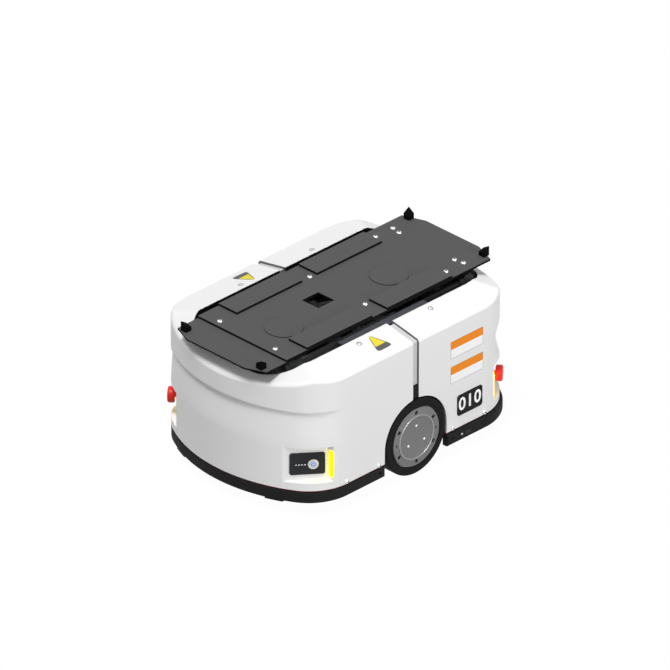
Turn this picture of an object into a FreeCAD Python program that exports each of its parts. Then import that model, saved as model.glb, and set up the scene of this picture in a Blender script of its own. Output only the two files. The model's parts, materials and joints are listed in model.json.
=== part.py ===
"""Low lifting mobile robot, built as a parametric FreeCAD document.

Frame: millimetres, +Z up, the floor at Z = 0, the origin under the middle of the body.
The robot drives towards -Y, its front. +X is the side that carries the number plate.
Each piece is a PartDesign body or a Part object whose sizes are bound to the sheet "Sizes".
Pieces of the front half are drawn towards -Y, and the rear ones are the same turned half round Z.
"""

import FreeCAD, Part
import os
import re
from math import pi

import Sketcher
from FreeCAD import Placement, Rotation, Vector

X_AXIS, Y_AXIS, Z_AXIS = Vector(1, 0, 0), Vector(0, 1, 0), Vector(0, 0, 1)

os.makedirs("parts", exist_ok=True)
doc = FreeCAD.newDocument("mobile_robot")
sheet = doc.addObject("Spreadsheet::Sheet", "Sizes")

SIZES = (
    # plan outline, shared by shells, seals, bumpers and base plate
    ("body_half_width", 228, "side wall to the middle plane"),
    ("body_half_length", 335, "nose to the middle plane"),
    ("corner_radius", 110, "plan corners of the body"),
    ("end_radius", 350, "plan curve of nose and tail"),
    # shells
    ("shell_bottom", 57, "lower edge of the shells"),
    ("shell_wall", 5, "front shell wall"),
    ("shell_lap_gap", 0.5, "gap between the lapped shells"),
    ("flank_top", 320, "height of the top beside the platform"),
    ("flank_drop", 14.4, "fall of the top from the opening to the side wall"),
    ("hood_reach", 95, "nose to where the top starts to fall"),
    ("hood_drop", 38, "fall of the top from there to the nose"),
    ("band_top", 234, "height of the crease across nose and tail"),
    ("band_bottom", 160, "height where the scoop below the crease runs out"),
    ("band_depth", 9, "depth of the scoop under the crease at the nose"),
    ("flank_width", 77, "side wall to the platform opening"),
    ("hood_length", 32, "nose to the platform opening"),
    ("opening_corner", 62, "corner radius of that opening"),
    ("seam_half", 8.2, "half the width of the seam groove"),
    ("seam_lip", 3, "wall of the lip under the seam"),
    ("seam_block_top", 203, "top of the black block in the seam"),
    ("seam_block_sunk", 2, "black block behind the side wall"),
    ("boss_radius", 9, "screw bosses inside the shells"),
    # corner recesses
    ("recess_bottom", 74, "floor of the corner recesses"),
    ("recess_top", 154, "roof of the corner recesses"),
    ("recess_width", 76, "side wall to where the back plane leaves the outline"),
    ("recess_depth", 19.2, "side wall to the inner corner of the recess"),
    ("recess_back", 105, "nose to the inner corner of the recess"),
    ("recess_lean", 2.6, "lean of the lamp wall over its depth"),
    ("recess_wall", 3, "wall around the recess"),
    ("lamp_bottom", 83.4, "lower end of the lamps"),
    ("lamp_height", 58, "length of the lamps"),
    ("lamp_width", 8.8, "width of the lamps"),
    ("lamp_thick", 2.5, "thickness of the lamps"),
    # bumpers and seals
    ("bumper_bottom", 28, "lower edge of the bumpers"),
    ("bumper_top", 54, "upper edge of the bumpers"),
    ("bumper_wall", 12, "depth of the bumpers"),
    ("bumper_proud", 4, "how far the rear bumper stands out all round"),
    ("bumper_overhang", 4, "how much more it stands out behind the tail"),
    ("bumper_drop", 3, "lower edge of the rear bumper under that of the front one"),
    ("bumper_round", 7, "rounding of the rear bumper"),
    ("bumper_hole", 3, "radius of the fixing holes at the bumper ends"),
    ("bumper_hole_back", 13, "fixing hole behind the bumper end"),
    ("foot_height", 2.5, "feet under the front bumper"),
    ("foot_near", 114, "inner end of those feet"),
    ("foot_far", 150, "outer end of those feet"),
    ("foot_inset", 1, "feet behind the bumper's face"),
    ("seal_inset", 1.5, "how far the seal stands back"),
    ("seal_wall", 9, "depth of the seal"),
    ("contact_y", 127, "side fitting along the body"),
    ("contact_radius", 5, "side fitting"),
    ("contact_rise", 1.5, "side fitting outside the rear bumper"),
    # drive wheels
    ("wheel_radius", 85, "drive wheel over the tyre"),
    ("wheel_proud", 1, "outer face of the tyre outside the side wall"),
    ("tyre_width", 40, "drive wheel tyre"),
    ("tyre_inner", 66, "seat of the tyre on the hub"),
    ("tyre_round", 4, "rounding of the tyre's edges"),
    ("arch_gap", 3.2, "gap between the tyre and the shell"),
    ("hub_rim_wall", 7, "rim of the hub"),
    ("hub_web", 9, "web of the hub"),
    ("hub_boss", 22, "boss radius of the hub"),
    ("hub_seat", 32, "seat of the cover on the hub"),
    ("hub_dish", 12, "space behind the cover"),
    ("hub_step", 3, "hub behind the tyre's inner face"),
    ("cover_radius", 64.7, "hub cover disc"),
    ("cover_thick", 3.5, "hub cover disc"),
    ("cover_proud", 2.5, "ridge of the cover outside the tyre's face"),
    ("cover_edge", 0.8, "chamfer of the cover"),
    ("cover_hole_ring", 55.6, "ring of holes in the cover"),
    ("cover_hole", 4.4, "large holes in the cover"),
    ("cover_pin_hole", 2.4, "two small holes in the cover"),
    ("cover_ridge", 48, "radius of the ridge on the cover"),
    ("cover_ridge_height", 2, "height of that ridge"),
    ("cover_ridge_half", 2.5, "half the foot of that ridge"),
    ("cover_screw_ring", 26, "ring of screws in the cover"),
    ("axle_radius", 10, "drive axle"),
    ("running_gap", 0.05, "radial clearance of every running fit"),
    ("motor_radius", 38, "drive motor"),
    ("motor_inner", 40, "inner end of the drive motor"),
    ("motor_pilot", 30, "pilot of the gearbox in the side frame"),
    ("motor_edge", 3, "chamfer of the drive motor"),
    ("gearbox_depth", 26, "depth of the axle in the gearbox"),
    ("bore_room", 1, "room behind the axle in the gearbox"),
    # base plate and frames
    ("base_bottom", 36, "underside of the base plate"),
    ("base_thick", 6, "base plate"),
    ("fit_gap", 0.3, "gap between neighbours that don't move"),
    ("notch_depth", 62, "inner edge of the wheel notches from the side wall"),
    ("notch_half", 94, "half length of the wheel notches"),
    ("tab_inset", 13.3, "outer face of the shell tabs from the side wall"),
    ("tab_thick", 4, "shell tabs"),
    ("tab_top", 76, "top of the shell tabs"),
    ("tab_near", 97, "near end of the shell tabs"),
    ("tab_far", 206, "far end of the shell tabs"),
    ("frame_inset", 79, "outer face of the side frames from the side wall"),
    ("frame_sheet", 4, "sheet of the side frames"),
    ("frame_half", 121, "half length of the side frames"),
    ("frame_top", 312, "top of the side frames"),
    ("frame_flange", 22, "top flange of the side frames"),
    ("frame_foot", 29, "bottom flange of the side frames"),
    ("ear_top", 300, "ears that carry the shell screws"),
    ("ear_reach", 33, "reach of those ears"),
    ("ear_half", 14, "half width of those ears"),
    ("deck_bottom", 206, "underside of the lift deck"),
    ("deck_thick", 5, "lift deck"),
    ("deck_end", 73, "lift deck from the nose"),
    ("deck_post_x", 75, "posts under the deck"),
    ("deck_post_y", 250, "posts under the deck"),
    ("deck_post_radius", 9, "posts under the deck"),
    # screws
    ("screw_shank", 3, "shank radius of an M6 screw"),
    ("screw_head", 5.5, "head radius of an M6 button screw"),
    ("screw_rise", 3.3, "head height of an M6 button screw"),
    ("screw_socket", 2, "socket radius of an M6 button screw"),
    ("screw_gap", 0.3, "radial clearance of a screw hole"),
    ("side_screw_z", 62, "screws low on the sides"),
    ("side_screw_near", 105, "screws low on the sides"),
    ("side_screw_far", 196, "screws low on the sides"),
    ("top_screw_inset", 60, "screws on the flanks from the side wall"),
    ("top_screw_y", 101, "screws on the flanks"),
    # casters
    ("caster_inset", 98, "swivel axis from the side wall"),
    ("caster_end", 120, "swivel axis from the nose"),
    ("caster_radius", 25, "caster wheel"),
    ("caster_width", 18, "caster wheel"),
    ("caster_trail", 16, "offset of the caster's axle"),
    ("caster_axle", 4, "axle radius of the caster"),
    ("caster_round", 2, "rounding of the caster wheel"),
    ("caster_cheek", 3, "fork sheet of the caster"),
    ("caster_side_gap", 1.5, "gap between caster wheel and fork"),
    ("caster_crown", 60, "top of the fork"),
    ("kingpin_radius", 8, "swivel pin"),
    ("race_width", 4, "shoulders of the swivel bearing"),
    ("mount_roof", 5, "roof of the caster mount"),
    ("well_radius", 50, "hole in the base plate for a caster"),
    ("well_wall", 4, "wall of the caster mount"),
    ("well_top", 72, "top of the caster mount"),
    # platform
    ("plate_top", 328, "top of the lift plate when lowered"),
    ("plate_thick", 5, "lift plate"),
    ("plate_gap", 25, "lift plate from the opening's side"),
    ("plate_inset", 1, "rear edge of the lift plate before the tail"),
    ("plate_front", 264, "front edge of the lift plate"),
    ("plate_chamfer_x", 51, "rear corner cut of the lift plate"),
    ("plate_chamfer_y", 19, "rear corner cut of the lift plate"),
    ("nose_overhang", 4, "front edge of the nose plate past the nose"),
    ("nose_back", 206, "rear edge of the nose plate"),
    ("nose_thick", 4, "nose plate"),
    ("nose_chamfer_x", 45, "corner cut of the nose plate"),
    ("nose_chamfer_y", 18.4, "corner cut of the nose plate"),
    ("pad_inner", 73.4, "inner edge of the load pads"),
    ("pad_near", 21, "near end of the load pads"),
    ("pad_far", 206, "far end of the load pads"),
    ("pad_rise", 5.5, "load pads above the plate"),
    ("dome_radius", 40, "round bearing discs"),
    ("dome_x", 30, "round bearing discs"),
    ("dome_front", 176, "front disc"),
    ("dome_rear", 122, "rear disc"),
    ("dome_rise", 2.2, "middle of the discs above the plate"),
    ("dome_edge", 0.8, "edge of the discs above the plate"),
    ("window_half", 23, "camera window in the plate"),
    ("window_y", 49, "camera window in the plate"),
    ("post_half", 7.8, "half side of the corner posts"),
    ("post_edge", 19.4, "corner posts from the plate's side"),
    ("post_end", 19, "corner posts from the nose"),
    ("post_low", 9, "inner corner of a post"),
    ("post_mid", 12.5, "side corners of a post"),
    ("post_tip", 22, "outer corner of a post"),
    ("plate_screw_x", 78.6, "screws along the plate"),
    ("plate_screw_front", 249, "front screws"),
    ("plate_screw_mid", 5.4, "middle screws"),
    ("plate_screw_rear", 260, "rear screws"),
    ("end_screw_x", 100, "pairs of screws at the rear end"),
    ("end_screw_near", 214, "pairs of screws at the rear end"),
    ("end_screw_far", 264, "pairs of screws at the rear end"),
    ("rail_inner", 54, "rails under the plate"),
    ("rail_outer", 75, "rails under the plate"),
    ("rail_height", 20, "rails under the plate"),
    ("rail_front", 204, "front end of the rails"),
    ("rail_rear", 300, "rear end of the rails"),
    ("cross_half", 9, "half width of the cross bars"),
    ("cross_y", 168, "cross bars"),
    ("leg_half", 22, "half length of the wear legs over the rollers"),
    # guides
    ("guide_x", 94, "guide rods"),
    ("guide_y", 190, "guide rods"),
    ("guide_radius", 8, "guide rods"),
    ("guide_end", 175, "lower end of the guide rods"),
    ("guide_cap", 15.5, "cap radius of the guide rods"),
    ("guide_cap_thick", 8, "cap of the guide rods"),
    ("guide_lead", 1.5, "chamfer at the guide rods' ends"),
    ("bush_radius", 13, "guide bushes"),
    ("bush_flange", 17, "flange radius of the guide bushes"),
    ("bush_flange_thick", 5, "flange of the guide bushes"),
    ("bush_top", 250, "guide bushes"),
    # lift linkage
    ("lift_travel", 40, "stroke of the platform"),
    ("arm_length", 110, "lift arms from pivot to roller"),
    ("pivot_z", 262, "lift shafts"),
    ("front_pivot", 230, "front lift shaft, before the middle"),
    ("rear_pivot", 10, "rear lift shaft, behind the middle"),
    ("shaft_radius", 10, "lift shafts"),
    ("shaft_left", 104, "left end of the lift shafts"),
    ("shaft_right", 115, "right end of the lift shafts"),
    ("arm_inner", 50, "lift arms"),
    ("arm_thick", 8, "lift arms"),
    ("arm_half", 8, "half height of the lift arms"),
    ("arm_root", 12, "half height of the lift arms at the shaft"),
    ("roller_radius", 14, "lift rollers"),
    ("roller_width", 14, "lift rollers"),
    ("roller_pin", 5, "pins of the lift rollers"),
    ("pin_end", 4, "pins standing out past rollers and pull bar"),
    ("roller_gap", 0.3, "gap between roller and leg when lowered"),
    ("bearing_inner", 82, "bearing blocks"),
    ("bearing_width", 16, "bearing blocks"),
    ("bearing_half", 19, "half length of a bearing block's foot"),
    ("bearing_foot", 8, "height of that foot"),
    ("bearing_body", 15, "half length of a bearing block's body"),
    ("bearing_crown", 15, "top of a bearing block over the shaft"),
    ("lever_length", 38, "lever on the lift shafts"),
    ("lever_inner", 102, "lever on the lift shafts"),
    ("lever_thick", 10, "lever on the lift shafts"),
    ("lever_half", 7, "half width of the lever"),
    ("lever_root", 12, "half width of the lever at the shaft"),
    ("lever_pin", 4, "pin of the lever"),
    ("bar_inner", 114, "pull bar"),
    ("bar_thick", 6, "pull bar"),
    ("bar_half", 9.5, "half height of the pull bar"),
    ("bar_front", 25, "front end of the pull bar, before the front shaft"),
    ("bar_rear", 52, "rear end of the pull bar"),
    ("bar_slot_gap", 0.25, "clearance of the lever pin in the bar's slot"),
    ("rod_radius", 6, "actuator rod"),
    ("rod_drop", 2, "actuator rod under the top of the lever's swing"),
    ("rod_end", 168, "inner end of the actuator rod"),
    ("tube_radius", 12, "actuator tube"),
    ("tube_front", 128, "front end of the actuator tube"),
    ("tube_rear", 228, "rear end of the actuator tube"),
    ("tube_bore_end", 172, "end of the bore in the tube"),
    ("can_radius", 22, "motor can of the actuator"),
    ("can_rear", 262, "rear end of the motor can"),
    ("can_edge", 5, "rounded edges of the motor can"),
    ("cradle_half", 10, "half width of the actuator's saddle"),
    ("cradle_front", 206, "front of that saddle"),
    ("cradle_rear", 224, "rear of that saddle"),
    ("neck_radius", 16, "joint between tube and can"),
    ("neck_length", 12, "joint between tube and can"),
    # power and control
    ("battery_half_width", 73, "battery"),
    ("battery_near", 97, "front face of the battery"),
    ("battery_far", 236, "rear face of the battery"),
    ("battery_top", 190, "top of the battery"),
    ("battery_round", 4, "upright edges of the battery"),
    ("grip_half", 40, "grip pocket in the battery"),
    ("grip_near", 127, "grip pocket in the battery"),
    ("grip_far", 149, "grip pocket in the battery"),
    ("grip_depth", 18, "grip pocket in the battery"),
    ("control_half_width", 73, "control box"),
    ("control_near", 97, "rear face of the control box"),
    ("control_far", 232, "front face of the control box"),
    ("control_top", 148, "top of the control box's fins"),
    ("fin_height", 14, "cooling fins of the control box"),
    ("fin_thick", 3, "cooling fins of the control box"),
    ("fin_pitch", 16, "cooling fins of the control box"),
    ("fin_edge", 9, "cooling fins from the edge of the control box"),
    ("camera_half", 20, "camera housings"),
    ("camera_top", 296, "upward camera housing"),
    ("camera_height", 34, "camera housings"),
    ("lens_radius", 11, "camera lenses"),
    ("lens_rise", 6, "camera lenses"),
    ("camera_post", 9, "post of the upward camera"),
    ("floor_camera_top", 96, "downward camera"),
    # controls in the recesses
    ("panel_width", 72, "control panel"),
    ("panel_height", 50, "control panel"),
    ("panel_thick", 2.5, "control panel"),
    ("panel_z", 112.8, "middle of the control panel"),
    ("panel_along", 48.6, "middle of the panel along the back plane"),
    ("button_along", 60.3, "power button and emergency stops along the back plane"),
    ("button_z", 112, "power button"),
    ("button_radius", 8.2, "moving face of the power button"),
    ("button_ring", 11, "ring of the power button"),
    ("button_ring_rise", 2.6, "ring above the panel"),
    ("button_travel", 1.2, "stroke of the power button"),
    ("button_gap", 0.1, "gap behind the pressed button"),
    ("button_sunk", 0.3, "button below its ring"),
    ("stop_z", 115, "emergency stops"),
    ("stop_ring", 13, "collar radius of an emergency stop"),
    ("stop_collar", 5, "collar height of an emergency stop"),
    ("stop_cap", 17.5, "cap radius of an emergency stop"),
    ("stop_front", 24, "cap face above the back plane"),
    ("stop_cap_thick", 14.8, "cap thickness"),
    ("stop_stem", 5, "stem radius"),
    ("stop_stem_end", 4.3, "inner end of the stem above the back plane"),
    ("stop_travel", 4, "stroke of an emergency stop"),
    ("number_start", 117, "number plate"),
    ("number_width", 72, "number plate"),
    ("number_bottom", 83, "number plate"),
    ("number_height", 48, "number plate"),
    ("number_thick", 1.2, "number plate"),
    ("number_round", 7, "corners of the number plate"),
)
# sizes that follow from the others
DERIVED = {
    "wheel_face": "(body_half_width + wheel_proud)",
    "frame_face": "(body_half_width - frame_inset)",
    "notch_x": "(body_half_width - notch_depth)",
    "opening_half_width": "(body_half_width - flank_width)",
    "opening_half_length": "(body_half_length - hood_length)",
    "hood_start": "(body_half_length - hood_reach)",
    "recess_start_x": "(body_half_width - recess_width)",
    "recess_inner_x": "(body_half_width - recess_depth)",
    "recess_inner_y": "(body_half_length - recess_back)",
    "top_screw_x": "(body_half_width - top_screw_inset)",
    "caster_x": "(body_half_width - caster_inset)",
    "caster_y": "(body_half_length - caster_end)",
    "deck_half": "(body_half_length - deck_end)",
    "plate_half_width": "(opening_half_width - plate_gap)",
    "plate_rear": "(body_half_length - plate_inset)",
    "nose_front": "(body_half_length + nose_overhang)",
    "post_x": "(plate_half_width - post_edge)",
    "post_y": "(body_half_length - post_end)",
}
ALIASES = {alias for alias, _, _ in SIZES}
for row, (alias, value, meaning) in enumerate(SIZES, 1):
    sheet.set(f"A{row}", meaning)
    sheet.set(f"B{row}", str(value))
    sheet.setAlias(f"B{row}", alias)
doc.recompute()


def linked(text):
    """Text with every size written as a reference to its cell, or as what it follows from."""

    def link(word):
        name = word[0]
        if name in DERIVED:
            return linked(DERIVED[name])
        return f"Sizes.{name}" if name in ALIASES else name

    return re.sub(r"(?<![\w.])[a-z]\w+", link, text)


def number(text):
    """Value of an expression in sizes."""
    return float(sheet.evalExpression(linked(text)))


def tie(thing, **properties):
    """Binds properties to expressions in sizes."""
    for name, text in properties.items():
        thing.setExpression(name, linked(text))


def place(thing, x="0", y="0", z="0", axis=Z_AXIS, angle=0.0):
    """Turns a piece about an axis and binds its position."""
    thing.Placement = Placement(Vector(number(x), number(y), number(z)), Rotation(axis, angle))
    for letter, text in zip("xyz", (x, y, z)):
        thing.setExpression(f"Placement.Base.{letter}", linked(text))
    return thing


class Drawing:
    """A sketch on one of a body's own planes, each point bound to the sheet."""

    def __init__(self, piece, role, height="0"):
        self.sketch = piece.body.newObject("Sketcher::SketchObject", f"{piece.body.Name}_sketch")
        self.sketch.AttachmentSupport = (piece.origin(role), "")
        self.sketch.MapMode = "FlatFace"
        self.sketch.setExpression("AttachmentOffset.Base.z", linked(height))

    def fix(self, kind, *target, text):
        """Adds one dimension and binds it."""
        index = self.sketch.addConstraint(Sketcher.Constraint(kind, *target, number(text)))
        self.sketch.setExpression(f"Constraints[{index}]", linked(text))

    def point(self, geometry, end, x, y):
        self.fix("DistanceX", -1, 1, geometry, end, text=x)
        self.fix("DistanceY", -1, 1, geometry, end, text=y)

    def polygon(self, *points):
        places = [Vector(number(x), number(y), 0) for x, y in points]
        first = self.sketch.GeometryCount
        count = len(points)
        for i, start in enumerate(places):
            self.sketch.addGeometry(Part.LineSegment(start, places[(i + 1) % count]), False)
        for i in range(count):
            following = first + (i + 1) % count
            self.sketch.addConstraint(Sketcher.Constraint("Coincident", first + i, 2, following, 1))
        for i, (x, y) in enumerate(points):
            self.point(first + i, 1, x, y)
        return self

    def rectangle(self, x0, x1, y0, y1):
        return self.polygon((x0, y0), (x1, y0), (x1, y1), (x0, y1))

    def rectangles(self, x0, x1, y0, y1):
        """The rectangle and its mirror images in all four quarters."""
        for side_x in (-1, 1):
            for side_y in (-1, 1):
                across = [f"{side_x} * ({x})" for x in (x0, x1)]
                along = [f"{side_y} * ({y})" for y in (y0, y1)]
                self.rectangle(*across, *along)
        return self

    def circle(self, x, y, radius):
        centre = Vector(number(x), number(y), 0)
        index = self.sketch.addGeometry(Part.Circle(centre, Z_AXIS, number(radius)), False)
        self.fix("Radius", index, text=radius)
        self.point(index, 3, x, y)
        return self

    def half_outline(self, inset, half_length, seam):
        """The body's plan from the seam to the nose: sides, corner arcs and the nose arc."""
        wide = number(f"body_half_width - ({inset})")
        corner = number(f"corner_radius - ({inset})")
        nose = number(f"end_radius - ({inset})")
        nose_y = number(f"end_radius - ({half_length})")
        corner_x = wide - corner
        corner_y = nose_y - ((nose - corner) ** 2 - corner_x**2) ** 0.5
        touch = Vector(corner_x, corner_y - nose_y, 0).normalize() * nose
        seam_y = number(seam)
        middle = Vector(0, nose_y, 0)
        right = Vector(corner_x, corner_y, 0)
        left = Vector(-corner_x, corner_y, 0)
        slant = Vector(1, 0, 0).getAngle(touch)

        def arc(centre, radius, start, end):
            return Part.ArcOfCircle(Part.Circle(centre, Z_AXIS, radius), start, end)

        self.sketch.addGeometry(Part.LineSegment(Vector(-wide, seam_y, 0), Vector(-wide, corner_y, 0)))
        self.sketch.addGeometry(arc(left, corner, pi, pi + slant))
        self.sketch.addGeometry(arc(middle, nose, pi + slant, 2 * pi - slant))
        self.sketch.addGeometry(arc(right, corner, 2 * pi - slant, 2 * pi))
        self.sketch.addGeometry(Part.LineSegment(Vector(wide, corner_y, 0), Vector(wide, seam_y, 0)))
        self.sketch.addGeometry(Part.LineSegment(Vector(wide, seam_y, 0), Vector(-wide, seam_y, 0)))
        for i in range(4):
            self.sketch.addConstraint(Sketcher.Constraint("Tangent", i, 2, i + 1, 1))
        self.sketch.addConstraint(Sketcher.Constraint("Coincident", 4, 2, 5, 1))
        self.sketch.addConstraint(Sketcher.Constraint("Coincident", 5, 2, 0, 1))
        self.point(2, 3, "0", f"end_radius - ({half_length})")
        self.fix("Radius", 2, text=f"end_radius - ({inset})")
        self.fix("Radius", 1, text=f"corner_radius - ({inset})")
        self.fix("Radius", 3, text=f"corner_radius - ({inset})")
        self.point(0, 1, f"({inset}) - body_half_width", seam)
        self.point(4, 2, f"body_half_width - ({inset})", seam)
        self.sketch.addConstraint(Sketcher.Constraint("Vertical", 0))
        self.sketch.addConstraint(Sketcher.Constraint("Vertical", 4))
        return self


class Piece:
    """A PartDesign body that grows feature by feature."""

    def __init__(self, name, x="0", y="0", z="0", axis=Z_AXIS, angle=0.0):
        self.body = doc.addObject("PartDesign::Body", name)
        self.body.Label = name
        place(self.body, x, y, z, axis, angle)
        self.last = []

    def origin(self, role):
        return next(item for item in self.body.Origin.OriginFeatures if item.Role == role)

    def draw(self, role="XY_Plane", height="0"):
        return Drawing(self, role, height)

    def feature(self, kind, drawing=None, **properties):
        made = self.body.newObject(f"PartDesign::{kind}", f"{self.body.Name}_{kind}")
        if drawing is not None:
            made.Profile = drawing.sketch
        for name, value in properties.items():
            setattr(made, name, value)
        return made

    def pad(self, drawing, length, back=False, middle=False):
        """Adds the drawing's prism, along the plane's normal unless back or middle."""
        made = self.feature("Pad", drawing, Reversed=back)
        if middle:
            made.SideType = "Symmetric"
        tie(made, Length=length)
        self.last = [made]
        doc.recompute()
        return self

    def pocket(self, drawing, length=None, back=False, middle=False):
        """Cuts the drawing's prism against the plane's normal, or along it when back is set."""
        before = self.body.Shape.Volume
        made = self.feature("Pocket", drawing, Reversed=back)
        if middle:
            made.SideType = "Symmetric"
        if length is None:
            made.Type = "ThroughAll"
        else:
            tie(made, Length=length)
        self.last = [made]
        doc.recompute()
        self.must_shrink(before)
        return self

    def revolve(self, drawing, role="Z_Axis"):
        made = self.feature("Revolution", drawing)
        made.ReferenceAxis = (self.origin(role), [""])
        made.Angle = 360
        self.last = [made]
        doc.recompute()
        return self

    def mirror(self, role):
        """Repeats the last features across one of the origin planes."""
        made = self.feature("Mirrored", Originals=self.last)
        made.MirrorPlane = (self.origin(role), [""])
        self.body.Tip = made
        doc.recompute()
        return self

    def ring(self, count, role="Z_Axis"):
        """Repeats the last features around an axis."""
        made = self.feature("PolarPattern", Originals=self.last)
        made.Axis = (self.origin(role), [""])
        made.Angle = 360
        made.Occurrences = count
        self.body.Tip = made
        doc.recompute()
        return self

    def dress(self, kind, size, test):
        """Fillets or chamfers the edges that pass the test, given each edge's middle."""
        tip = self.body.Tip
        names = [
            f"Edge{i}" for i, edge in enumerate(tip.Shape.Edges, 1) if test(edge, edge.CenterOfMass)
        ]
        made = self.feature(kind, Base=(tip, names))
        tie(made, **{"Radius" if kind == "Fillet" else "Size": size})
        self.body.Tip = made
        doc.recompute()
        return self

    def must_shrink(self, before):
        if self.body.Shape.Volume > before - 1e-3:
            raise ValueError(f"{self.body.Label}: a pocket cuts nothing")


def upright(edge):
    return abs(edge.tangentAt(edge.FirstParameter).z) > 0.9


def level(edge):
    return abs(edge.tangentAt(edge.FirstParameter).z) < 0.1


NODES = []


def keep(thing, label=None):
    """Marks a finished piece as one of the assembly's nodes."""
    made = thing.body if isinstance(thing, Piece) else thing
    if label:
        made.Label = label
    NODES.append(made)
    return made


def join(kind, name, first, *others):
    """A boolean of whole pieces."""
    shapes = [item.body if isinstance(item, Piece) else item for item in (first, *others)]
    if kind in ("Fuse", "Compound"):
        made = doc.addObject("Part::MultiFuse" if kind == "Fuse" else "Part::Compound", name)
        setattr(made, "Shapes" if kind == "Fuse" else "Links", shapes)
    else:
        made = doc.addObject(f"Part::{kind}", name)
        made.Base = shapes[0]
        made.Tool = shapes[1] if len(shapes) == 2 else join("Fuse", f"{name}_tools", *shapes[1:])
    doc.recompute()
    return made


def box(name, x0, x1, y0, y1, z0, z1):
    """A Part box between bound corners."""
    made = doc.addObject("Part::Box", name)
    tie(made, Length=f"({x1}) - ({x0})", Width=f"({y1}) - ({y0})", Height=f"({z1}) - ({z0})")
    return place(made, x0, y0, z0)


def cylinder(name, radius, height, x="0", y="0", z="0", axis=Z_AXIS, angle=0.0):
    made = doc.addObject("Part::Cylinder", name)
    tie(made, Radius=radius, Height=height)
    return place(made, x, y, z, axis, angle)


# --- outline pieces: shells, seals, bumpers -------------------------------------------------------

REACH = "end_radius + flank_top"


def prism(name, inset, seam, bottom, height, half_length="body_half_length"):
    piece = Piece(name)
    return piece.pad(piece.draw(height=bottom).half_outline(inset, half_length, seam), height)


def shell_solid(name, inset, seam):
    """The filled volume of a shell, its walls and top moved in by the inset."""
    piece = Piece(name)
    whole = "body_half_length"
    scooped = "body_half_length - band_depth"
    lower = piece.draw(height="shell_bottom").half_outline(inset, whole, seam)
    piece.pad(lower, "band_bottom - shell_bottom")
    scoop = piece.draw(height="band_bottom").half_outline(inset, whole, seam)
    crease = piece.draw(height="band_top").half_outline(inset, scooped, seam)
    loft = piece.feature("AdditiveLoft", scoop, Sections=[(crease.sketch, [""])], Ruled=True)
    doc.recompute()
    upper = piece.draw(height="band_top").half_outline(inset, whole, seam)
    piece.pad(upper, f"flank_top - ({inset}) - band_top")
    top = f"(flank_top - ({inset}))"
    hood = piece.draw("YZ_Plane").polygon(
        ("-hood_start", top),
        ("-hood_start", f"{top} + hood_drop"),
        ("-2 * body_half_length + hood_start", f"{top} + hood_drop"),
        ("-2 * body_half_length + hood_start", f"{top} - 2 * hood_drop"),
    )
    piece.pocket(hood, middle=True)
    edge, fall = "body_half_width - opening_half_width", "flank_drop"
    flank = piece.draw("XZ_Plane").polygon(
        ("opening_half_width", top),
        (f"opening_half_width + 2 * ({edge})", top),
        (f"opening_half_width + 2 * ({edge})", f"{top} - 2 * {fall}"),
    )
    piece.pocket(flank, middle=True)
    return piece.mirror("YZ_Plane")


def recess_prism(name, side, grow, bottom, top):
    """A corner recess as a solid that runs out past the body; grow moves its walls into the body."""
    piece = Piece(name)
    start_y = "(body_half_length - end_radius + sqrt(end_radius ^ 2 - recess_start_x ^ 2))"
    run = f"sqrt((recess_inner_x - recess_start_x) ^ 2 + ({start_y} - recess_inner_y) ^ 2)"
    inward_x = f"({grow}) * ({start_y} - recess_inner_y) / {run}"
    inward_y = f"({grow}) * (recess_inner_x - recess_start_x) / {run}"
    out = "body_half_width + corner_radius"
    points = (
        (f"recess_start_x - {inward_x}", f"-{start_y} + {inward_y}"),
        (f"recess_start_x - {inward_x}", f"-({out})"),
        (out, f"-({out})"),
        (out, f"-recess_inner_y + recess_lean + ({grow})"),
        ("body_half_width", f"-recess_inner_y + recess_lean + ({grow})"),
        (f"recess_inner_x - ({grow})", f"-recess_inner_y + ({grow})"),
    )
    sided = [(x if side > 0 else f"-({x})", y) for x, y in points]
    return piece.pad(piece.draw(height=bottom).polygon(*sided), f"({top}) - ({bottom})")


def arch_tool(name):
    """What the shells leave free around the drive wheels."""
    ring = cylinder(f"{name}_ring", "wheel_radius + arch_gap", f"2 * ({REACH})", f"-({REACH})", "0",
                    "wheel_radius", Y_AXIS, 90)
    down = box(f"{name}_down", f"-({REACH})", REACH, "-wheel_radius - arch_gap", "wheel_radius + arch_gap",
               "0", "wheel_radius")
    return join("Fuse", name, ring, down)


def opening_tool(name):
    """The platform opening, through the top of both shells."""
    piece = Piece(name)
    plan = piece.draw(height="band_top").rectangle(
        "-opening_half_width", "opening_half_width", "-opening_half_length", "opening_half_length")
    piece.pad(plan, "flank_top")
    return piece.dress("Fillet", "opening_corner", lambda edge, middle: upright(edge))


def shell_bosses(name):
    """Screw bosses between the shell's inner face and the tabs and ears that carry it."""
    inner = "body_half_width - shell_wall"
    seat = "body_half_width - tab_inset"
    made = []
    for side in (-1, 1):
        span = (seat, f"{inner} + 1") if side > 0 else (f"-({inner}) - 1", f"-({seat})")
        for spot in ("side_screw_near", "side_screw_far"):
            made.append(box(f"{name}_side", *span, f"-{spot} - boss_radius", f"-{spot} + boss_radius",
                            "shell_bottom", "side_screw_z + boss_radius"))
        made.append(cylinder(f"{name}_top", "boss_radius", "flank_top - ear_top - shell_wall",
                             f"{side} * top_screw_x", "-top_screw_y", "ear_top"))
    return made


def shell_holes(name):
    """Clearance holes for the shell screws."""
    made = []
    radius = "screw_shank + screw_gap"
    for side in (-1, 1):
        for spot in ("side_screw_near", "side_screw_far"):
            made.append(cylinder(f"{name}_side", radius, "corner_radius",
                                 f"{side} * body_half_width - corner_radius / 2", f"-{spot}",
                                 "side_screw_z", Y_AXIS, 90))
        made.append(cylinder(f"{name}_top", radius, "corner_radius",
                             f"{side} * top_screw_x", "-top_screw_y", "ear_top - 1"))
    return made


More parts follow.
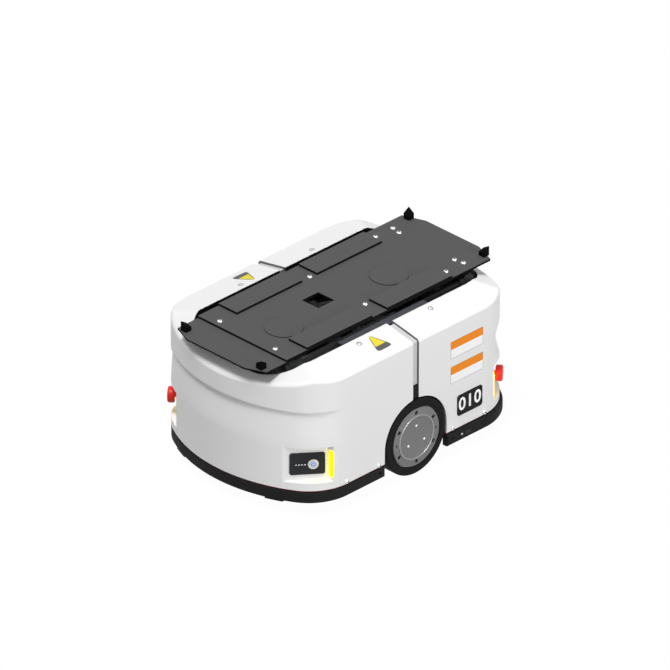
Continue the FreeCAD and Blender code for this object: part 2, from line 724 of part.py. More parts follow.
def make_shell(name, turned):
    """One half of the cover: walls, lowered lip or lapped edge, recesses, opening and arches."""
    seam = "-seam_half"
    wall = "shell_wall - shell_lap_gap" if turned else "shell_wall"
    skin = [join("Cut", f"{name}_skin", shell_solid(f"{name}_outer", "0", seam),
                 shell_solid(f"{name}_inner", wall, f"{seam} + 1"))]
    if not turned:
        lip = join("Cut", f"{name}_lip_full",
                   shell_solid(f"{name}_lip_outer", "shell_wall", "seam_half - fit_gap"),
                   shell_solid(f"{name}_lip_inner", "shell_wall + seam_lip", "seam_half + 1"))
        behind = box(f"{name}_lip_behind", f"-({REACH})", REACH, f"-({REACH})", "-2 * seam_half",
                     "0", REACH)
        skin.append(join("Cut", f"{name}_lip", lip, behind))
    pods = [recess_prism(f"{name}_pod", side, "recess_wall", "recess_bottom - recess_wall",
                         "recess_top + recess_wall") for side in (-1, 1)]
    filled = prism_of_outer(name, pods)
    solid = join("Fuse", f"{name}_solid", *skin, filled, *shell_bosses(name))
    recesses = [recess_prism(f"{name}_recess", side, "0", "recess_bottom", "recess_top")
                for side in (-1, 1)]
    return join("Cut", f"{name}_cut", solid, *recesses, arch_tool(f"{name}_arch"),
                opening_tool(f"{name}_opening"), *shell_holes(name))


def prism_of_outer(name, pods):
    """The recess walls, kept inside the body's outer face."""
    outer = shell_solid(f"{name}_pod_limit", "0", "-seam_half")
    return join("Common", f"{name}_pods", outer, *pods)


def turned_half(thing, name, turned):
    """Rear halves are the front's drawing turned half round."""
    made = doc.addObject("Part::Compound", name)
    made.Links = [thing.body if isinstance(thing, Piece) else thing]
    return place(made, angle=180 if turned else 0)


END_GAP = "-wheel_radius - arch_gap"


def make_seal(name, turned):
    outer = prism(f"{name}_outer", "seal_inset", END_GAP, "bumper_top", "shell_bottom - bumper_top")
    inner = prism(f"{name}_inner", "seal_inset + seal_wall", f"{END_GAP} + 1", "bumper_top",
                  "shell_bottom - bumper_top")
    return turned_half(join("Cut", f"{name}_ring", outer, inner), name, turned)


def make_bumper(name, turned):
    """A bumper bar round one end, with fixing holes at its ends."""
    proud, end, low = "0", "body_half_length", "bumper_bottom"
    if turned:
        proud, end, low = "-bumper_proud", f"{end} + bumper_overhang", f"{low} - bumper_drop"
    height = f"bumper_top - ({low})"
    outer = prism(f"{name}_outer", proud, END_GAP, low, height, end)
    if turned:
        end_y = number(END_GAP) - 1
        outer.dress("Fillet", "bumper_round", lambda edge, middle: level(edge) and middle.y < end_y)
    inner = prism(f"{name}_inner", "bumper_wall", f"{END_GAP} + 1", low, height)
    holes = [cylinder(f"{name}_hole", "bumper_hole", "2 * bumper_wall",
                      f"{side} * (body_half_width - bumper_wall / 2) - bumper_wall",
                      f"{END_GAP} - bumper_hole_back", "(bumper_bottom + bumper_top) / 2", Y_AXIS, 90)
             for side in (-1, 1)]
    return join("Cut", f"{name}_bar", outer, inner, *holes)


keep(turned_half(make_shell("front_cover", False), "front_shell", False))
keep(turned_half(make_shell("rear_cover", True), "rear_shell", True))
keep(make_seal("front_seal", False))
keep(make_seal("rear_seal", True))

FOOT_UNDER = "bumper_bottom - foot_height"
foot_ring = join("Cut", "foot_ring",
                 prism("foot_outer", "foot_inset", END_GAP, FOOT_UNDER, "2 * foot_height"),
                 prism("foot_inner", "bumper_wall", f"{END_GAP} + 1", FOOT_UNDER, "2 * foot_height"))
foot_spans = [box("foot_span", *span, "-body_half_length", "-recess_inner_y", FOOT_UNDER, "bumper_bottom")
              for span in (("-foot_far", "-foot_near"), ("foot_near", "foot_far"))]
feet = join("Common", "front_feet", foot_ring, *foot_spans)
front_bar = join("Fuse", "front_bar", make_bumper("front_guard", False), feet)
keep(turned_half(front_bar, "front_bumper", False))

fittings = []
for side in (-1, 1):
    fitting = Piece("side_fitting", f"{side} * (body_half_width - 1)", "-contact_y",
                    "(bumper_bottom + bumper_top) / 2", Y_AXIS, 90 * side)
    fitting.pad(fitting.draw().circle("0", "0", "contact_radius"), "bumper_proud + contact_rise + 1")
    fittings.append(fitting)
rear_bar = join("Fuse", "rear_bar", make_bumper("rear_guard", True), *fittings)
keep(turned_half(rear_bar, "rear_bumper", True))

# --- base plate, side frames, lift deck -----------------------------------------------------------

base = Piece("base_plate")
base.pad(base.draw(height="base_bottom").half_outline("bumper_wall + fit_gap", "body_half_length", "0"),
         "base_thick").mirror("XZ_Plane")
TAB_OUT = "body_half_width - tab_inset"
tabs = base.draw(height="base_bottom").rectangles(f"{TAB_OUT} - tab_thick", TAB_OUT, "tab_near", "tab_far")
base.pad(tabs, "tab_top - base_bottom")
notch = base.draw(height="base_bottom")
notch.rectangle("notch_x", "body_half_width + 1", "-notch_half", "notch_half")
base.pocket(notch, back=True).mirror("YZ_Plane")
wells = base.draw(height="base_bottom")
for side_x in (-1, 1):
    for side_y in (-1, 1):
        wells.circle(f"{side_x} * caster_x", f"{side_y} * caster_y", "well_radius")
base.pocket(wells, back=True)
base.pocket(base.draw(height="base_bottom").circle("0", "0", "lens_radius + screw_gap"), back=True)
tab_holes = base.draw("YZ_Plane")
for side_y in (-1, 1):
    for spot in ("side_screw_near", "side_screw_far"):
        tab_holes.circle(f"{side_y} * {spot}", "side_screw_z", "screw_shank + screw_gap")
base.pocket(tab_holes, middle=True)
keep(base)

BASE_TOP = "(base_bottom + base_thick)"


def make_side_frame(name, turn):
    """A folded sheet frame: foot, web and top flange, with ears for the shell screws."""
    frame = Piece(name, angle=turn)
    face, sheet_in = "frame_face", "(frame_face - frame_sheet)"
    frame.pad(frame.draw("XZ_Plane").polygon(
        (f"{face} - frame_foot", BASE_TOP), (face, BASE_TOP), (face, "frame_top"),
        (f"{face} - frame_flange", "frame_top"), (f"{face} - frame_flange", "frame_top - frame_sheet"),
        (sheet_in, "frame_top - frame_sheet"), (sheet_in, f"{BASE_TOP} + frame_sheet"),
        (f"{face} - frame_foot", f"{BASE_TOP} + frame_sheet")), "2 * frame_half", middle=True)
    ears = frame.draw(height="ear_top - frame_sheet")
    for side in (-1, 1):
        low, high = f"{side} * top_screw_y - ear_half", f"{side} * top_screw_y + ear_half"
        ears.rectangle(face, f"{face} + ear_reach", low, high)
    frame.pad(ears, "frame_sheet")
    bores = frame.draw("YZ_Plane", sheet_in + " - 1")
    bores.circle("0", "wheel_radius", "motor_pilot + screw_gap")
    for side in (-1, 1):
        bores.circle(f"{side} * frame_half * 0.6", "(wheel_radius + deck_bottom) / 2", "motor_pilot / 1.2")
    frame.pocket(bores, "frame_sheet + 2", back=True)
    holes = frame.draw(height="ear_top - 2 * frame_sheet")
    for side in (-1, 1):
        holes.circle("top_screw_x", f"{side} * top_screw_y", "screw_shank + screw_gap")
    frame.pocket(holes, "3 * frame_sheet", back=True)
    return frame


keep(make_side_frame("side_frame_right", 0))
keep(make_side_frame("side_frame_left", 180))

DECK_TOP = "(deck_bottom + deck_thick)"
WEB_IN = "(frame_face - frame_sheet)"
deck = Piece("lift_deck")
deck.pad(deck.draw(height="deck_bottom").rectangle(f"-{WEB_IN}", WEB_IN, "-deck_half", "deck_half"),
         "deck_thick")
posts = deck.draw(height=BASE_TOP)
guides = deck.draw(height="deck_bottom")
for side_x in (-1, 1):
    for side_y in (-1, 1):
        posts.circle(f"{side_x} * deck_post_x", f"{side_y} * deck_post_y", "deck_post_radius")
        guides.circle(f"{side_x} * guide_x", f"{side_y} * guide_y", "bush_radius")
deck.pad(posts, f"deck_bottom - {BASE_TOP}")
deck.pocket(guides, back=True)
keep(deck)

# --- casters --------------------------------------------------------------------------------------

CROWN = "(caster_width / 2 + caster_side_gap + 2 * caster_cheek)"
CORNERS = {"front_left": (-1, -1), "front_right": (1, -1), "rear_left": (-1, 1), "rear_right": (1, 1)}
FORK_HALF = "(caster_width / 2 + caster_side_gap)"
ROOF = "(well_top - mount_roof)"
RACE = "(kingpin_radius + race_width)"
mounts = []
for corner, (side_x, side_y) in CORNERS.items():
    spot = (f"{side_x} * caster_x", f"{side_y} * caster_y")
    mount = Piece("caster_mount", *spot)
    rim = mount.draw("XZ_Plane").polygon(
        ("kingpin_radius + running_gap", "well_top"), ("well_radius + well_wall", "well_top"),
        ("well_radius + well_wall", BASE_TOP), ("well_radius", BASE_TOP),
        ("well_radius", ROOF), ("kingpin_radius + running_gap", ROOF))
    mounts.append(mount.revolve(rim))

    fork = Piece(f"caster_fork_{corner}", *spot)
    fork.revolve(fork.draw("XZ_Plane").polygon(
        ("0", "caster_crown - caster_cheek"), (CROWN, "caster_crown - caster_cheek"), (CROWN, "caster_crown"),
        (RACE, "caster_crown"), (RACE, f"{ROOF} - fit_gap"), ("kingpin_radius", f"{ROOF} - fit_gap"),
        ("kingpin_radius", "well_top + fit_gap"), (RACE, "well_top + fit_gap"),
        ("kingpin_radius", "well_top + race_width"), ("0", "well_top + race_width")))
    cheek = fork.draw("YZ_Plane", FORK_HALF).polygon(
        ("-caster_radius / 2", "caster_crown - caster_cheek"),
        ("caster_radius / 2", "caster_crown - caster_cheek"),
        ("caster_trail + 2 * caster_axle", "caster_radius"),
        ("caster_trail + caster_axle", "caster_radius - 1.75 * caster_axle"),
        ("caster_trail - caster_axle", "caster_radius - 1.75 * caster_axle"),
        ("caster_trail - 2 * caster_axle", "caster_radius"))
    fork.pad(cheek, "caster_cheek").mirror("YZ_Plane")
    axle = fork.draw("YZ_Plane").circle("caster_trail", "caster_radius", "caster_axle")
    fork.pad(axle, f"2 * ({FORK_HALF} + caster_cheek) + caster_axle", middle=True)
    keep(fork)

    wheel = Piece(f"caster_wheel_{corner}", spot[0], f"{spot[1]} + caster_trail", "caster_radius",
                  Y_AXIS, 90)
    bore, face, dish = "caster_axle + running_gap", f"({FORK_HALF} - fit_gap)", "(caster_width / 3)"
    tread, edge = "caster_radius", "(caster_width / 2 - caster_round)"
    outer_side = [
        (tread, edge), ("caster_radius - caster_round", "caster_width / 2"),
        ("caster_radius - 3 * caster_round", "caster_width / 2"),
        ("caster_radius - 3.5 * caster_round", dish), ("2 * caster_axle", dish), ("2 * caster_axle", face), (bore, face)]
    inner_side = [(radius, f"-{height}") for radius, height in reversed(outer_side)]
    wheel.revolve(wheel.draw("XZ_Plane").polygon(*inner_side, *outer_side))
    keep(wheel)
keep(join("Compound", "caster_mounts", *mounts))

# --- drive wheels ---------------------------------------------------------------------------------


def along_x(name, side):
    """A piece turned so that its own Z runs outward along X at the wheel's axle."""
    return Piece(name, "0", "0", "wheel_radius", Y_AXIS, 90 * side)


TYRE_IN = "(wheel_face - tyre_width)"
COVER_BACK = "(wheel_face + cover_proud - cover_ridge_height - cover_thick)"
COVER_FACE = f"({COVER_BACK} + cover_thick)"
for side_name, side in (("left", -1), ("right", 1)):
    tyre = along_x(f"tyre_{side_name}", side)
    tyre.revolve(tyre.draw("XZ_Plane").polygon(
        ("tyre_inner", TYRE_IN), ("wheel_radius - tyre_round", TYRE_IN),
        ("wheel_radius - 0.3 * tyre_round", f"{TYRE_IN} + 0.3 * tyre_round"),
        ("wheel_radius", f"{TYRE_IN} + tyre_round"), ("wheel_radius", "wheel_face - tyre_round"),
        ("wheel_radius - 0.3 * tyre_round", "wheel_face - 0.3 * tyre_round"),
        ("wheel_radius - tyre_round", "wheel_face"), ("tyre_inner", "wheel_face")))
    keep(tyre)

    hub = along_x(f"hub_{side_name}", side)
    rim, web, hub_in = "(tyre_inner - hub_rim_wall)", f"({COVER_BACK} - hub_dish)", f"({TYRE_IN} + hub_step)"
    hub.revolve(hub.draw("XZ_Plane").polygon(
        ("axle_radius", hub_in), ("hub_boss", hub_in), ("hub_boss", f"{web} - hub_web"),
        (rim, f"{web} - hub_web"), (rim, hub_in), ("tyre_inner", hub_in), ("tyre_inner", COVER_BACK),
        (rim, COVER_BACK), (rim, web), ("hub_seat", web), ("hub_seat", COVER_BACK),
        ("axle_radius", COVER_BACK)))
    keep(hub)

    cover = along_x(f"hub_cover_{side_name}", side)
    ridge_top = f"{COVER_FACE} + cover_ridge_height"
    cover.revolve(cover.draw("XZ_Plane").polygon(
        ("0", COVER_BACK), ("cover_radius", COVER_BACK), ("cover_radius", f"{COVER_FACE} - cover_edge"),
        ("cover_radius - cover_edge", COVER_FACE), ("cover_ridge + cover_ridge_half", COVER_FACE),
        ("cover_ridge + cover_ridge_half / 2.5", ridge_top),
        ("cover_ridge - cover_ridge_half / 2.5", ridge_top),
        ("cover_ridge - cover_ridge_half", COVER_FACE), ("0", COVER_FACE)))
    big_hole = cover.draw(height=COVER_BACK).circle("0", "cover_hole_ring", "cover_hole")
    cover.pocket(big_hole, "cover_thick", back=True).ring(6)
    pins = cover.draw(height=COVER_BACK).circle("cover_hole_ring", "0", "cover_pin_hole")
    cover.pocket(pins, "cover_thick", back=True).ring(2)
    heads = cover.draw(height=COVER_FACE).circle("0", "cover_screw_ring", "0.7 * screw_head")
    cover.pad(heads, "screw_rise / 2").ring(3)
    keep(cover)

    axle = along_x(f"axle_{side_name}", side)
    axle.pad(axle.draw(height="frame_face - gearbox_depth").circle("0", "0", "axle_radius"),
             f"{COVER_BACK} - frame_face + gearbox_depth")
    keep(axle)

    motor = along_x(f"gearmotor_{side_name}", side)
    bore, bottom = "axle_radius + running_gap", "frame_face - gearbox_depth - bore_room"
    motor.revolve(motor.draw("XZ_Plane").polygon(
        ("0", "motor_inner"), ("motor_radius - motor_edge", "motor_inner"),
        ("motor_radius", "motor_inner + motor_edge"), ("motor_radius", WEB_IN), ("motor_pilot", WEB_IN),
        ("motor_pilot", "frame_face"), (bore, "frame_face"), (bore, bottom), ("0", bottom)))
    keep(motor)

# --- platform -------------------------------------------------------------------------------------

PLATE_UNDER = "(plate_top - plate_thick)"
NOSE_UNDER = f"({PLATE_UNDER} - nose_thick)"
RAIL_UNDER = f"({PLATE_UNDER} - rail_height)"
PLATE_SCREWS = [(f"{side} * {x}", y) for side in (-1, 1) for x, y in (
    ("plate_screw_x", "-plate_screw_front"), ("plate_screw_x", "plate_screw_mid"),
    ("plate_screw_x", "plate_screw_rear"), ("end_screw_x", "end_screw_near"),
    ("end_screw_x", "end_screw_far"))]

plate = Piece("lift_plate")
w = "plate_half_width"
plate.pad(plate.draw(height=PLATE_UNDER).polygon(
    (f"-{w}", "-plate_front"), (w, "-plate_front"), (w, "plate_rear - plate_chamfer_y"),
    (f"{w} - plate_chamfer_x", "plate_rear"), (f"plate_chamfer_x - {w}", "plate_rear"),
    (f"-{w}", "plate_rear - plate_chamfer_y")), "plate_thick")
plate.pocket(plate.draw(height=PLATE_UNDER).rectangle(
    "-window_half", "window_half", "-window_y - window_half", "-window_y + window_half"), back=True)
drill = plate.draw(height=PLATE_UNDER)
for x, y in PLATE_SCREWS:
    drill.circle(x, y, "screw_shank + screw_gap")
plate.pocket(drill, back=True)
keep(plate)

nose = Piece("nose_plate")
nose.pad(nose.draw(height=NOSE_UNDER).polygon(
    (f"-{w}", "-nose_back"), (f"-{w}", "-nose_front + nose_chamfer_y"),
    (f"nose_chamfer_x - {w}", "-nose_front"), (f"{w} - nose_chamfer_x", "-nose_front"),
    (w, "-nose_front + nose_chamfer_y"), (w, "-nose_back")), "nose_thick")
drill = nose.draw(height=NOSE_UNDER)
for x, y in PLATE_SCREWS:
    if y == "-plate_screw_front":
        drill.circle(x, y, "screw_shank + screw_gap")
nose.pocket(drill, back=True)
keep(nose)

pads = Piece("load_pads")
keep(pads.pad(pads.draw(height="plate_top").rectangles("pad_inner", w, "pad_near", "pad_far"), "pad_rise"))

domes = []
for y in ("-dome_front", "dome_rear"):
    dome = Piece("dome", "dome_x", y, "plate_top")
    domes.append(dome.revolve(dome.draw("XZ_Plane").polygon(
        ("0", "0"), ("dome_radius", "0"), ("dome_radius", "dome_edge"),
        ("dome_radius * 0.6", "dome_edge * 0.4 + dome_rise * 0.6"), ("0", "dome_rise"))))
keep(join("Compound", "bearing_discs", *domes))


def post_solid(side_x, side_y):
    """A square post whose top rises in two planes to a tip at its outer corner."""
    half = number("post_half")
    low, middle, tip = number("post_low"), number("post_mid"), number("post_tip")
    inner, outer = (-side_x * half, -side_y * half), (side_x * half, side_y * half)
    near, far = (side_x * half, -side_y * half), (-side_x * half, side_y * half)
    tops = ((inner, low), (near, middle), (outer, tip), (far, middle))
    foot = [Vector(x, y, 0) for (x, y), _ in tops]
    roof = [Vector(x, y, height) for (x, y), height in tops]
    faces = [foot, [roof[0], roof[1], roof[2]], [roof[0], roof[2], roof[3]]]
    for i in range(4):
        j = (i + 1) % 4
        faces.append([foot[i], foot[j], roof[j], roof[i]])
    shell = Part.makeShell([Part.Face(Part.makePolygon(loop + loop[:1])) for loop in faces])
    made = Part.makeSolid(shell)
    return made if made.Volume > 0 else made.reversed()


corner_posts = []
for corner, (side_x, side_y) in CORNERS.items():
    post = doc.addObject("Part::Feature", "post")
    post.Shape = post_solid(side_x, side_y)
    seat = "plate_top" if side_y > 0 else f"{NOSE_UNDER} + nose_thick"
    corner_posts.append(place(post, f"{side_x} * post_x", f"{side_y} * post_y", seat))
keep(join("Compound", "corner_posts", *corner_posts))

rails = Piece("platform_rails")
rails.pad(rails.draw(height=RAIL_UNDER).rectangle("rail_inner", "rail_outer", "-rail_front", "rail_rear"),
          "rail_height").mirror("YZ_Plane")
crosses = rails.draw(height=RAIL_UNDER)
for spot in ("-cross_y", "cross_y", "rail_rear - cross_half"):
    crosses.rectangle("-rail_inner", "rail_inner", f"{spot} - cross_half", f"{spot} + cross_half")
rails.pad(crosses, "rail_height")
ROLLER_LOW = "(pivot_z - lift_travel / 2)"
LEG_FOOT = f"({ROLLER_LOW} + roller_radius + roller_gap)"
legs = rails.draw(height=LEG_FOOT)
for pivot in ("-front_pivot", "rear_pivot"):
    roller_y = f"{pivot} + arm_length"
    legs.rectangle("rail_inner", "rail_outer", f"{roller_y} - leg_half", f"{roller_y} + leg_half")
rails.pad(legs, f"{RAIL_UNDER} - {LEG_FOOT}").mirror("YZ_Plane")
keep(rails)

rods, bushes = [], []
for corner, (side_x, side_y) in CORNERS.items():
    spot = (f"{side_x} * guide_x", f"{side_y} * guide_y")
    rod = Piece("guide_rod", *spot)
    cap = f"({PLATE_UNDER} - guide_cap_thick)"
    rods.append(rod.revolve(rod.draw("XZ_Plane").polygon(
        ("0", "guide_end"), ("guide_radius - guide_lead", "guide_end"),
        ("guide_radius", "guide_end + guide_lead"), ("guide_radius", cap),
        ("guide_cap", cap), ("guide_cap", PLATE_UNDER), ("0", PLATE_UNDER))))
    bush = Piece("guide_bush", *spot)
    inner = "guide_radius + running_gap"
    bushes.append(bush.revolve(bush.draw("XZ_Plane").polygon(
        (inner, "deck_bottom"), ("bush_radius", "deck_bottom"), ("bush_radius", DECK_TOP),
        ("bush_flange", DECK_TOP), ("bush_flange", f"{DECK_TOP} + bush_flange_thick"),
        ("bush_radius", f"{DECK_TOP} + bush_flange_thick"), ("bush_radius", "bush_top"),
        (inner, "bush_top"))))
keep(join("Compound", "guide_rods", *rods))
keep(join("Compound", "guide_bushes", *bushes))

# --- lift linkage: both shafts are drawn level and stand half a swing below it when lowered --------

HALF_SWING = number("asin(lift_travel / 2 / arm_length)")
for end, pivot in (("front", "-front_pivot"), ("rear", "rear_pivot")):
    arm = Piece(f"{end}_lift_arm", "0", pivot, "pivot_z", X_AXIS, -HALF_SWING)
    arm.pad(arm.draw("YZ_Plane", "-shaft_left").circle("0", "0", "shaft_radius"), "shaft_left + shaft_right")
    bar = arm.draw("YZ_Plane", "arm_inner").polygon(
        ("0", "-arm_root"), ("arm_length", "-arm_half"), ("arm_length + 0.7 * arm_half", "-0.7 * arm_half"),
        ("arm_length + arm_half", "0"), ("arm_length + 0.7 * arm_half", "0.7 * arm_half"),
        ("arm_length", "arm_half"), ("0", "arm_root"), ("-arm_root", "arm_root / 2"),
        ("-arm_root", "-arm_root / 2"))
    arm.pad(bar, "arm_thick").mirror("YZ_Plane")
    pin = arm.draw("YZ_Plane", "arm_inner").circle("arm_length", "0", "roller_pin")
    arm.pad(pin, "arm_thick + roller_width + pin_end").mirror("YZ_Plane")
    lever = arm.draw("YZ_Plane", "lever_inner").polygon(
        ("-lever_root", "0"), ("-lever_root / 2", "-lever_root"), ("lever_root / 2", "-lever_root"),
        ("lever_root", "0"), ("lever_half", "lever_length"),
        ("0.7 * lever_half", "lever_length + 0.7 * lever_half"), ("0", "lever_length + lever_half"),
        ("-0.7 * lever_half", "lever_length + 0.7 * lever_half"), ("-lever_half", "lever_length"))
    arm.pad(lever, "lever_thick")
    tip = arm.draw("YZ_Plane", "lever_inner").circle("0", "lever_length", "lever_pin")
    arm.pad(tip, "bar_inner - lever_inner + bar_thick + pin_end / 2")
    keep(arm)

    wheels = []
    for side in (-1, 1):
        start = "arm_inner + arm_thick" if side > 0 else "-arm_inner - arm_thick - roller_width"
        roller = Piece("roller", "0", pivot, "pivot_z", X_AXIS, -HALF_SWING)
        ring = roller.draw("YZ_Plane", start)
        ring.circle("arm_length", "0", "roller_radius").circle("arm_length", "0", "roller_pin")
        wheels.append(roller.pad(ring, "roller_width"))
    keep(join("Compound", f"{end}_lift_rollers", *wheels))

blocks = []
for pivot in ("-front_pivot", "rear_pivot"):
    for side in (-1, 1):
        block = Piece("bearing_block", "0", pivot, "0")
        low = "bearing_inner" if side > 0 else "-bearing_inner - bearing_width"
        foot_top = f"{DECK_TOP} + bearing_foot"
        shoulder, crown = "pivot_z + shaft_radius", "pivot_z + bearing_crown"
        profile = block.draw("YZ_Plane", low).polygon(
            ("-bearing_half", DECK_TOP), ("bearing_half", DECK_TOP), ("bearing_half", foot_top),
            ("bearing_body", foot_top), ("bearing_body", shoulder), ("bearing_body / 2", crown),
            ("-bearing_body / 2", crown), ("-bearing_body", shoulder), ("-bearing_body", foot_top),
            ("-bearing_half", foot_top))
        profile.circle("0", "pivot_z", "shaft_radius + running_gap")
        blocks.append(block.pad(profile, "bearing_width"))
keep(join("Compound", "shaft_bearings", *blocks))

LEVER_TOP = "(pivot_z + lever_length)"
PIN_BACK = "(lever_length * lift_travel / 2 / arm_length)"
PIN_LOW = f"(pivot_z + sqrt(lever_length ^ 2 - {PIN_BACK} ^ 2))"
ROD_Z = f"({LEVER_TOP} - rod_drop)"
ROD_X = "(bar_inner + bar_thick / 2)"
pull = Piece("lift_rod")
low, high = f"{ROD_Z} - bar_half", f"{ROD_Z} + bar_half"
bar_plan = pull.draw("YZ_Plane", "bar_inner").rectangle(f"-front_pivot - bar_front", "bar_rear", low, high)
for pivot in ("-front_pivot", "rear_pivot"):
    slack = "(lever_pin + bar_slot_gap)"
    rest = f"{pivot} + {PIN_BACK}"
    bar_plan.rectangle(f"{rest} - {slack}", f"{rest} + {slack}",
                       f"{PIN_LOW} - {slack}", f"{LEVER_TOP} + {slack}")
pull.pad(bar_plan, "bar_thick")
socket = pull.draw("YZ_Plane", f"{ROD_X} - rod_radius").rectangle(
    "bar_rear - 2 * rod_radius", "bar_rear", f"{ROD_Z} - rod_radius", f"{ROD_Z} + rod_radius")
pull.pad(socket, "2 * rod_radius")
push = pull.draw("XZ_Plane", "-bar_rear").circle(ROD_X, ROD_Z, "rod_radius")
pull.pad(push, "rod_end - bar_rear", back=True)
keep(pull)

drive = Piece("actuator_tube", ROD_X, "0", ROD_Z, X_AXIS, -90)
NECK_END = "tube_rear + neck_length"
drive.revolve(drive.draw("XZ_Plane").polygon(
    ("rod_radius + running_gap", "tube_front"), ("tube_radius", "tube_front"), ("tube_radius", "tube_rear"),
    ("neck_radius", "tube_rear"), ("neck_radius", NECK_END), ("can_radius - can_edge", NECK_END),
    ("can_radius", f"{NECK_END} + can_edge"), ("can_radius", "can_rear - can_edge"),
    ("can_radius - can_edge", "can_rear"), ("0", "can_rear"),
    ("0", "tube_bore_end"), ("rod_radius + running_gap", "tube_bore_end")))
cradle = box("actuator_foot", f"{ROD_X} - cradle_half", f"{ROD_X} + cradle_half",
             "cradle_front", "cradle_rear", DECK_TOP, ROD_Z)
tube_room = cylinder("actuator_room", "tube_radius - 1", "tube_rear", ROD_X, "0", ROD_Z, X_AXIS, -90)
foot = join("Cut", "actuator_saddle", cradle, tube_room)
keep(join("Fuse", "lift_actuator", drive, foot))

# --- power and control ----------------------------------------------------------------------------

battery = Piece("battery_pack")
battery.pad(battery.draw(height=BASE_TOP).rectangle(
    "-battery_half_width", "battery_half_width", "battery_near", "battery_far"), f"battery_top - {BASE_TOP}")
battery.dress("Fillet", "battery_round", lambda edge, middle: upright(edge))
grip = battery.draw(height="battery_top").rectangle("-grip_half", "grip_half", "grip_near", "grip_far")
battery.pocket(grip, "grip_depth")
keep(battery)

control = Piece("control_box")
control.pad(control.draw(height=BASE_TOP).rectangle(
    "-control_half_width", "control_half_width", "-control_far", "-control_near"),
    f"control_top - fin_height - {BASE_TOP}")
fins = control.draw(height="control_top - fin_height")
fin_count = int(number("2 * (control_half_width - fin_edge) / fin_pitch"))
for i in range(fin_count + 1):
    x0 = f"fin_edge - control_half_width + {i} * fin_pitch - fin_thick / 2"
    fins.rectangle(x0, f"{x0} + fin_thick", "fin_edge - control_far", "-control_near - fin_edge")
control.pad(fins, "fin_height")
keep(control)

lookup = Piece("up_camera", "0", "-window_y")
CAMERA_UNDER = "(camera_top - camera_height)"
lookup.pad(lookup.draw(height=DECK_TOP).circle("0", "0", "camera_post"), f"{CAMERA_UNDER} - {DECK_TOP}")
lookup.pad(lookup.draw(height=CAMERA_UNDER).rectangle(
    "-camera_half", "camera_half", "-camera_half", "camera_half"), "camera_height")
lookup.pad(lookup.draw(height="camera_top").circle("0", "0", "lens_radius"), "lens_rise")
keep(lookup)

lookdown = Piece("floor_camera")
lookdown.pad(lookdown.draw(height=BASE_TOP).rectangle(
    "-camera_half", "camera_half", "-camera_half", "camera_half"), f"floor_camera_top - {BASE_TOP}")
lookdown.pad(lookdown.draw(height=BASE_TOP).circle("0", "0", "lens_radius"), "lens_rise", back=True)
keep(lookdown)

# --- lamps and controls in the corner recesses -----------------------------------------------------

START_Y = "(body_half_length - end_radius + sqrt(end_radius ^ 2 - recess_start_x ^ 2))"
PLANE_ANGLE = number(f"atan(({START_Y} - recess_inner_y) / (recess_inner_x - recess_start_x))")
WALL_ANGLE = number("atan(recess_lean / (body_half_width - recess_inner_x))")


def back_plane(name, side_x, side_y, along, height):
    """A piece whose own X runs along a recess's back plane and whose -Y points out of it."""
    share = f"({along}) / sqrt((recess_inner_x - recess_start_x) ^ 2 + ({START_Y} - recess_inner_y) ^ 2)"
    x = f"{side_x} * (recess_start_x + {share} * (recess_inner_x - recess_start_x))"
    y = f"{side_y} * ({START_Y} - {share} * ({START_Y} - recess_inner_y))"
    angle = PLANE_ANGLE if side_x > 0 else -PLANE_ANGLE
    if side_y > 0:
        angle = 180 - angle
    return Piece(name, x, y, height, angle=angle)



lamps = []
for corner, (side_x, side_y) in CORNERS.items():
    lean = WALL_ANGLE * (1 if side_x * side_y < 0 else -1)
    depth = "(body_half_width - recess_inner_x)"
    lamp = Piece("lamp", f"{side_x} * (recess_inner_x + {depth} / 4)",
                 f"{side_y} * (recess_inner_y - recess_lean / 4)", "0", angle=lean)
    start, stop = ("0", "lamp_width") if side_x > 0 else ("-lamp_width", "0")
    face, back = ("-lamp_thick", "0") if side_y < 0 else ("0", "lamp_thick")
    lamps.append(lamp.pad(lamp.draw(height="lamp_bottom").rectangle(start, stop, face, back), "lamp_height"))
keep(join("Compound", "corner_lamps", *lamps))

panel = back_plane("control_panel", 1, -1, "panel_along", "panel_z")
panel.pad(panel.draw("XZ_Plane").rectangle(
    "-panel_width / 2", "panel_width / 2", "-panel_height / 2", "panel_height / 2"), "panel_thick")
SHIFT_X, SHIFT_Z = "(button_along - panel_along)", "(button_z - panel_z)"
bezel = panel.draw("XZ_Plane", "panel_thick").circle(SHIFT_X, SHIFT_Z, "button_ring")
panel.pad(bezel.circle(SHIFT_X, SHIFT_Z, "button_radius + running_gap"), "button_ring_rise")
keep(panel)

button = back_plane("power_button", 1, -1, "button_along", "button_z")
face = button.draw("XZ_Plane", "panel_thick + button_travel + button_gap").circle("0", "0", "button_radius")
button.pad(face, "button_ring_rise - button_travel - button_gap - button_sunk")
keep(button)

for name, side_x, side_y in (("front", -1, -1), ("rear", 1, 1)):
    collar = back_plane(f"stop_collar_{name}", side_x, side_y, "button_along", "stop_z")
    ring = collar.draw("XZ_Plane").circle("0", "0", "stop_ring")
    collar.pad(ring.circle("0", "0", "stop_stem + running_gap"), "stop_collar")
    keep(collar)
    cap = back_plane(f"stop_cap_{name}", side_x, side_y, "button_along", "stop_z")
    disc = cap.draw("XZ_Plane", "stop_front - stop_cap_thick").circle("0", "0", "stop_cap")
    cap.pad(disc, "stop_cap_thick")
    cap.dress("Fillet", "stop_cap_thick / 3", lambda edge, middle: edge.Length > 50)
    cap.pad(cap.draw("XZ_Plane", "stop_stem_end").circle("0", "0", "stop_stem"),
            "stop_front - stop_cap_thick - stop_stem_end")
    keep(cap)

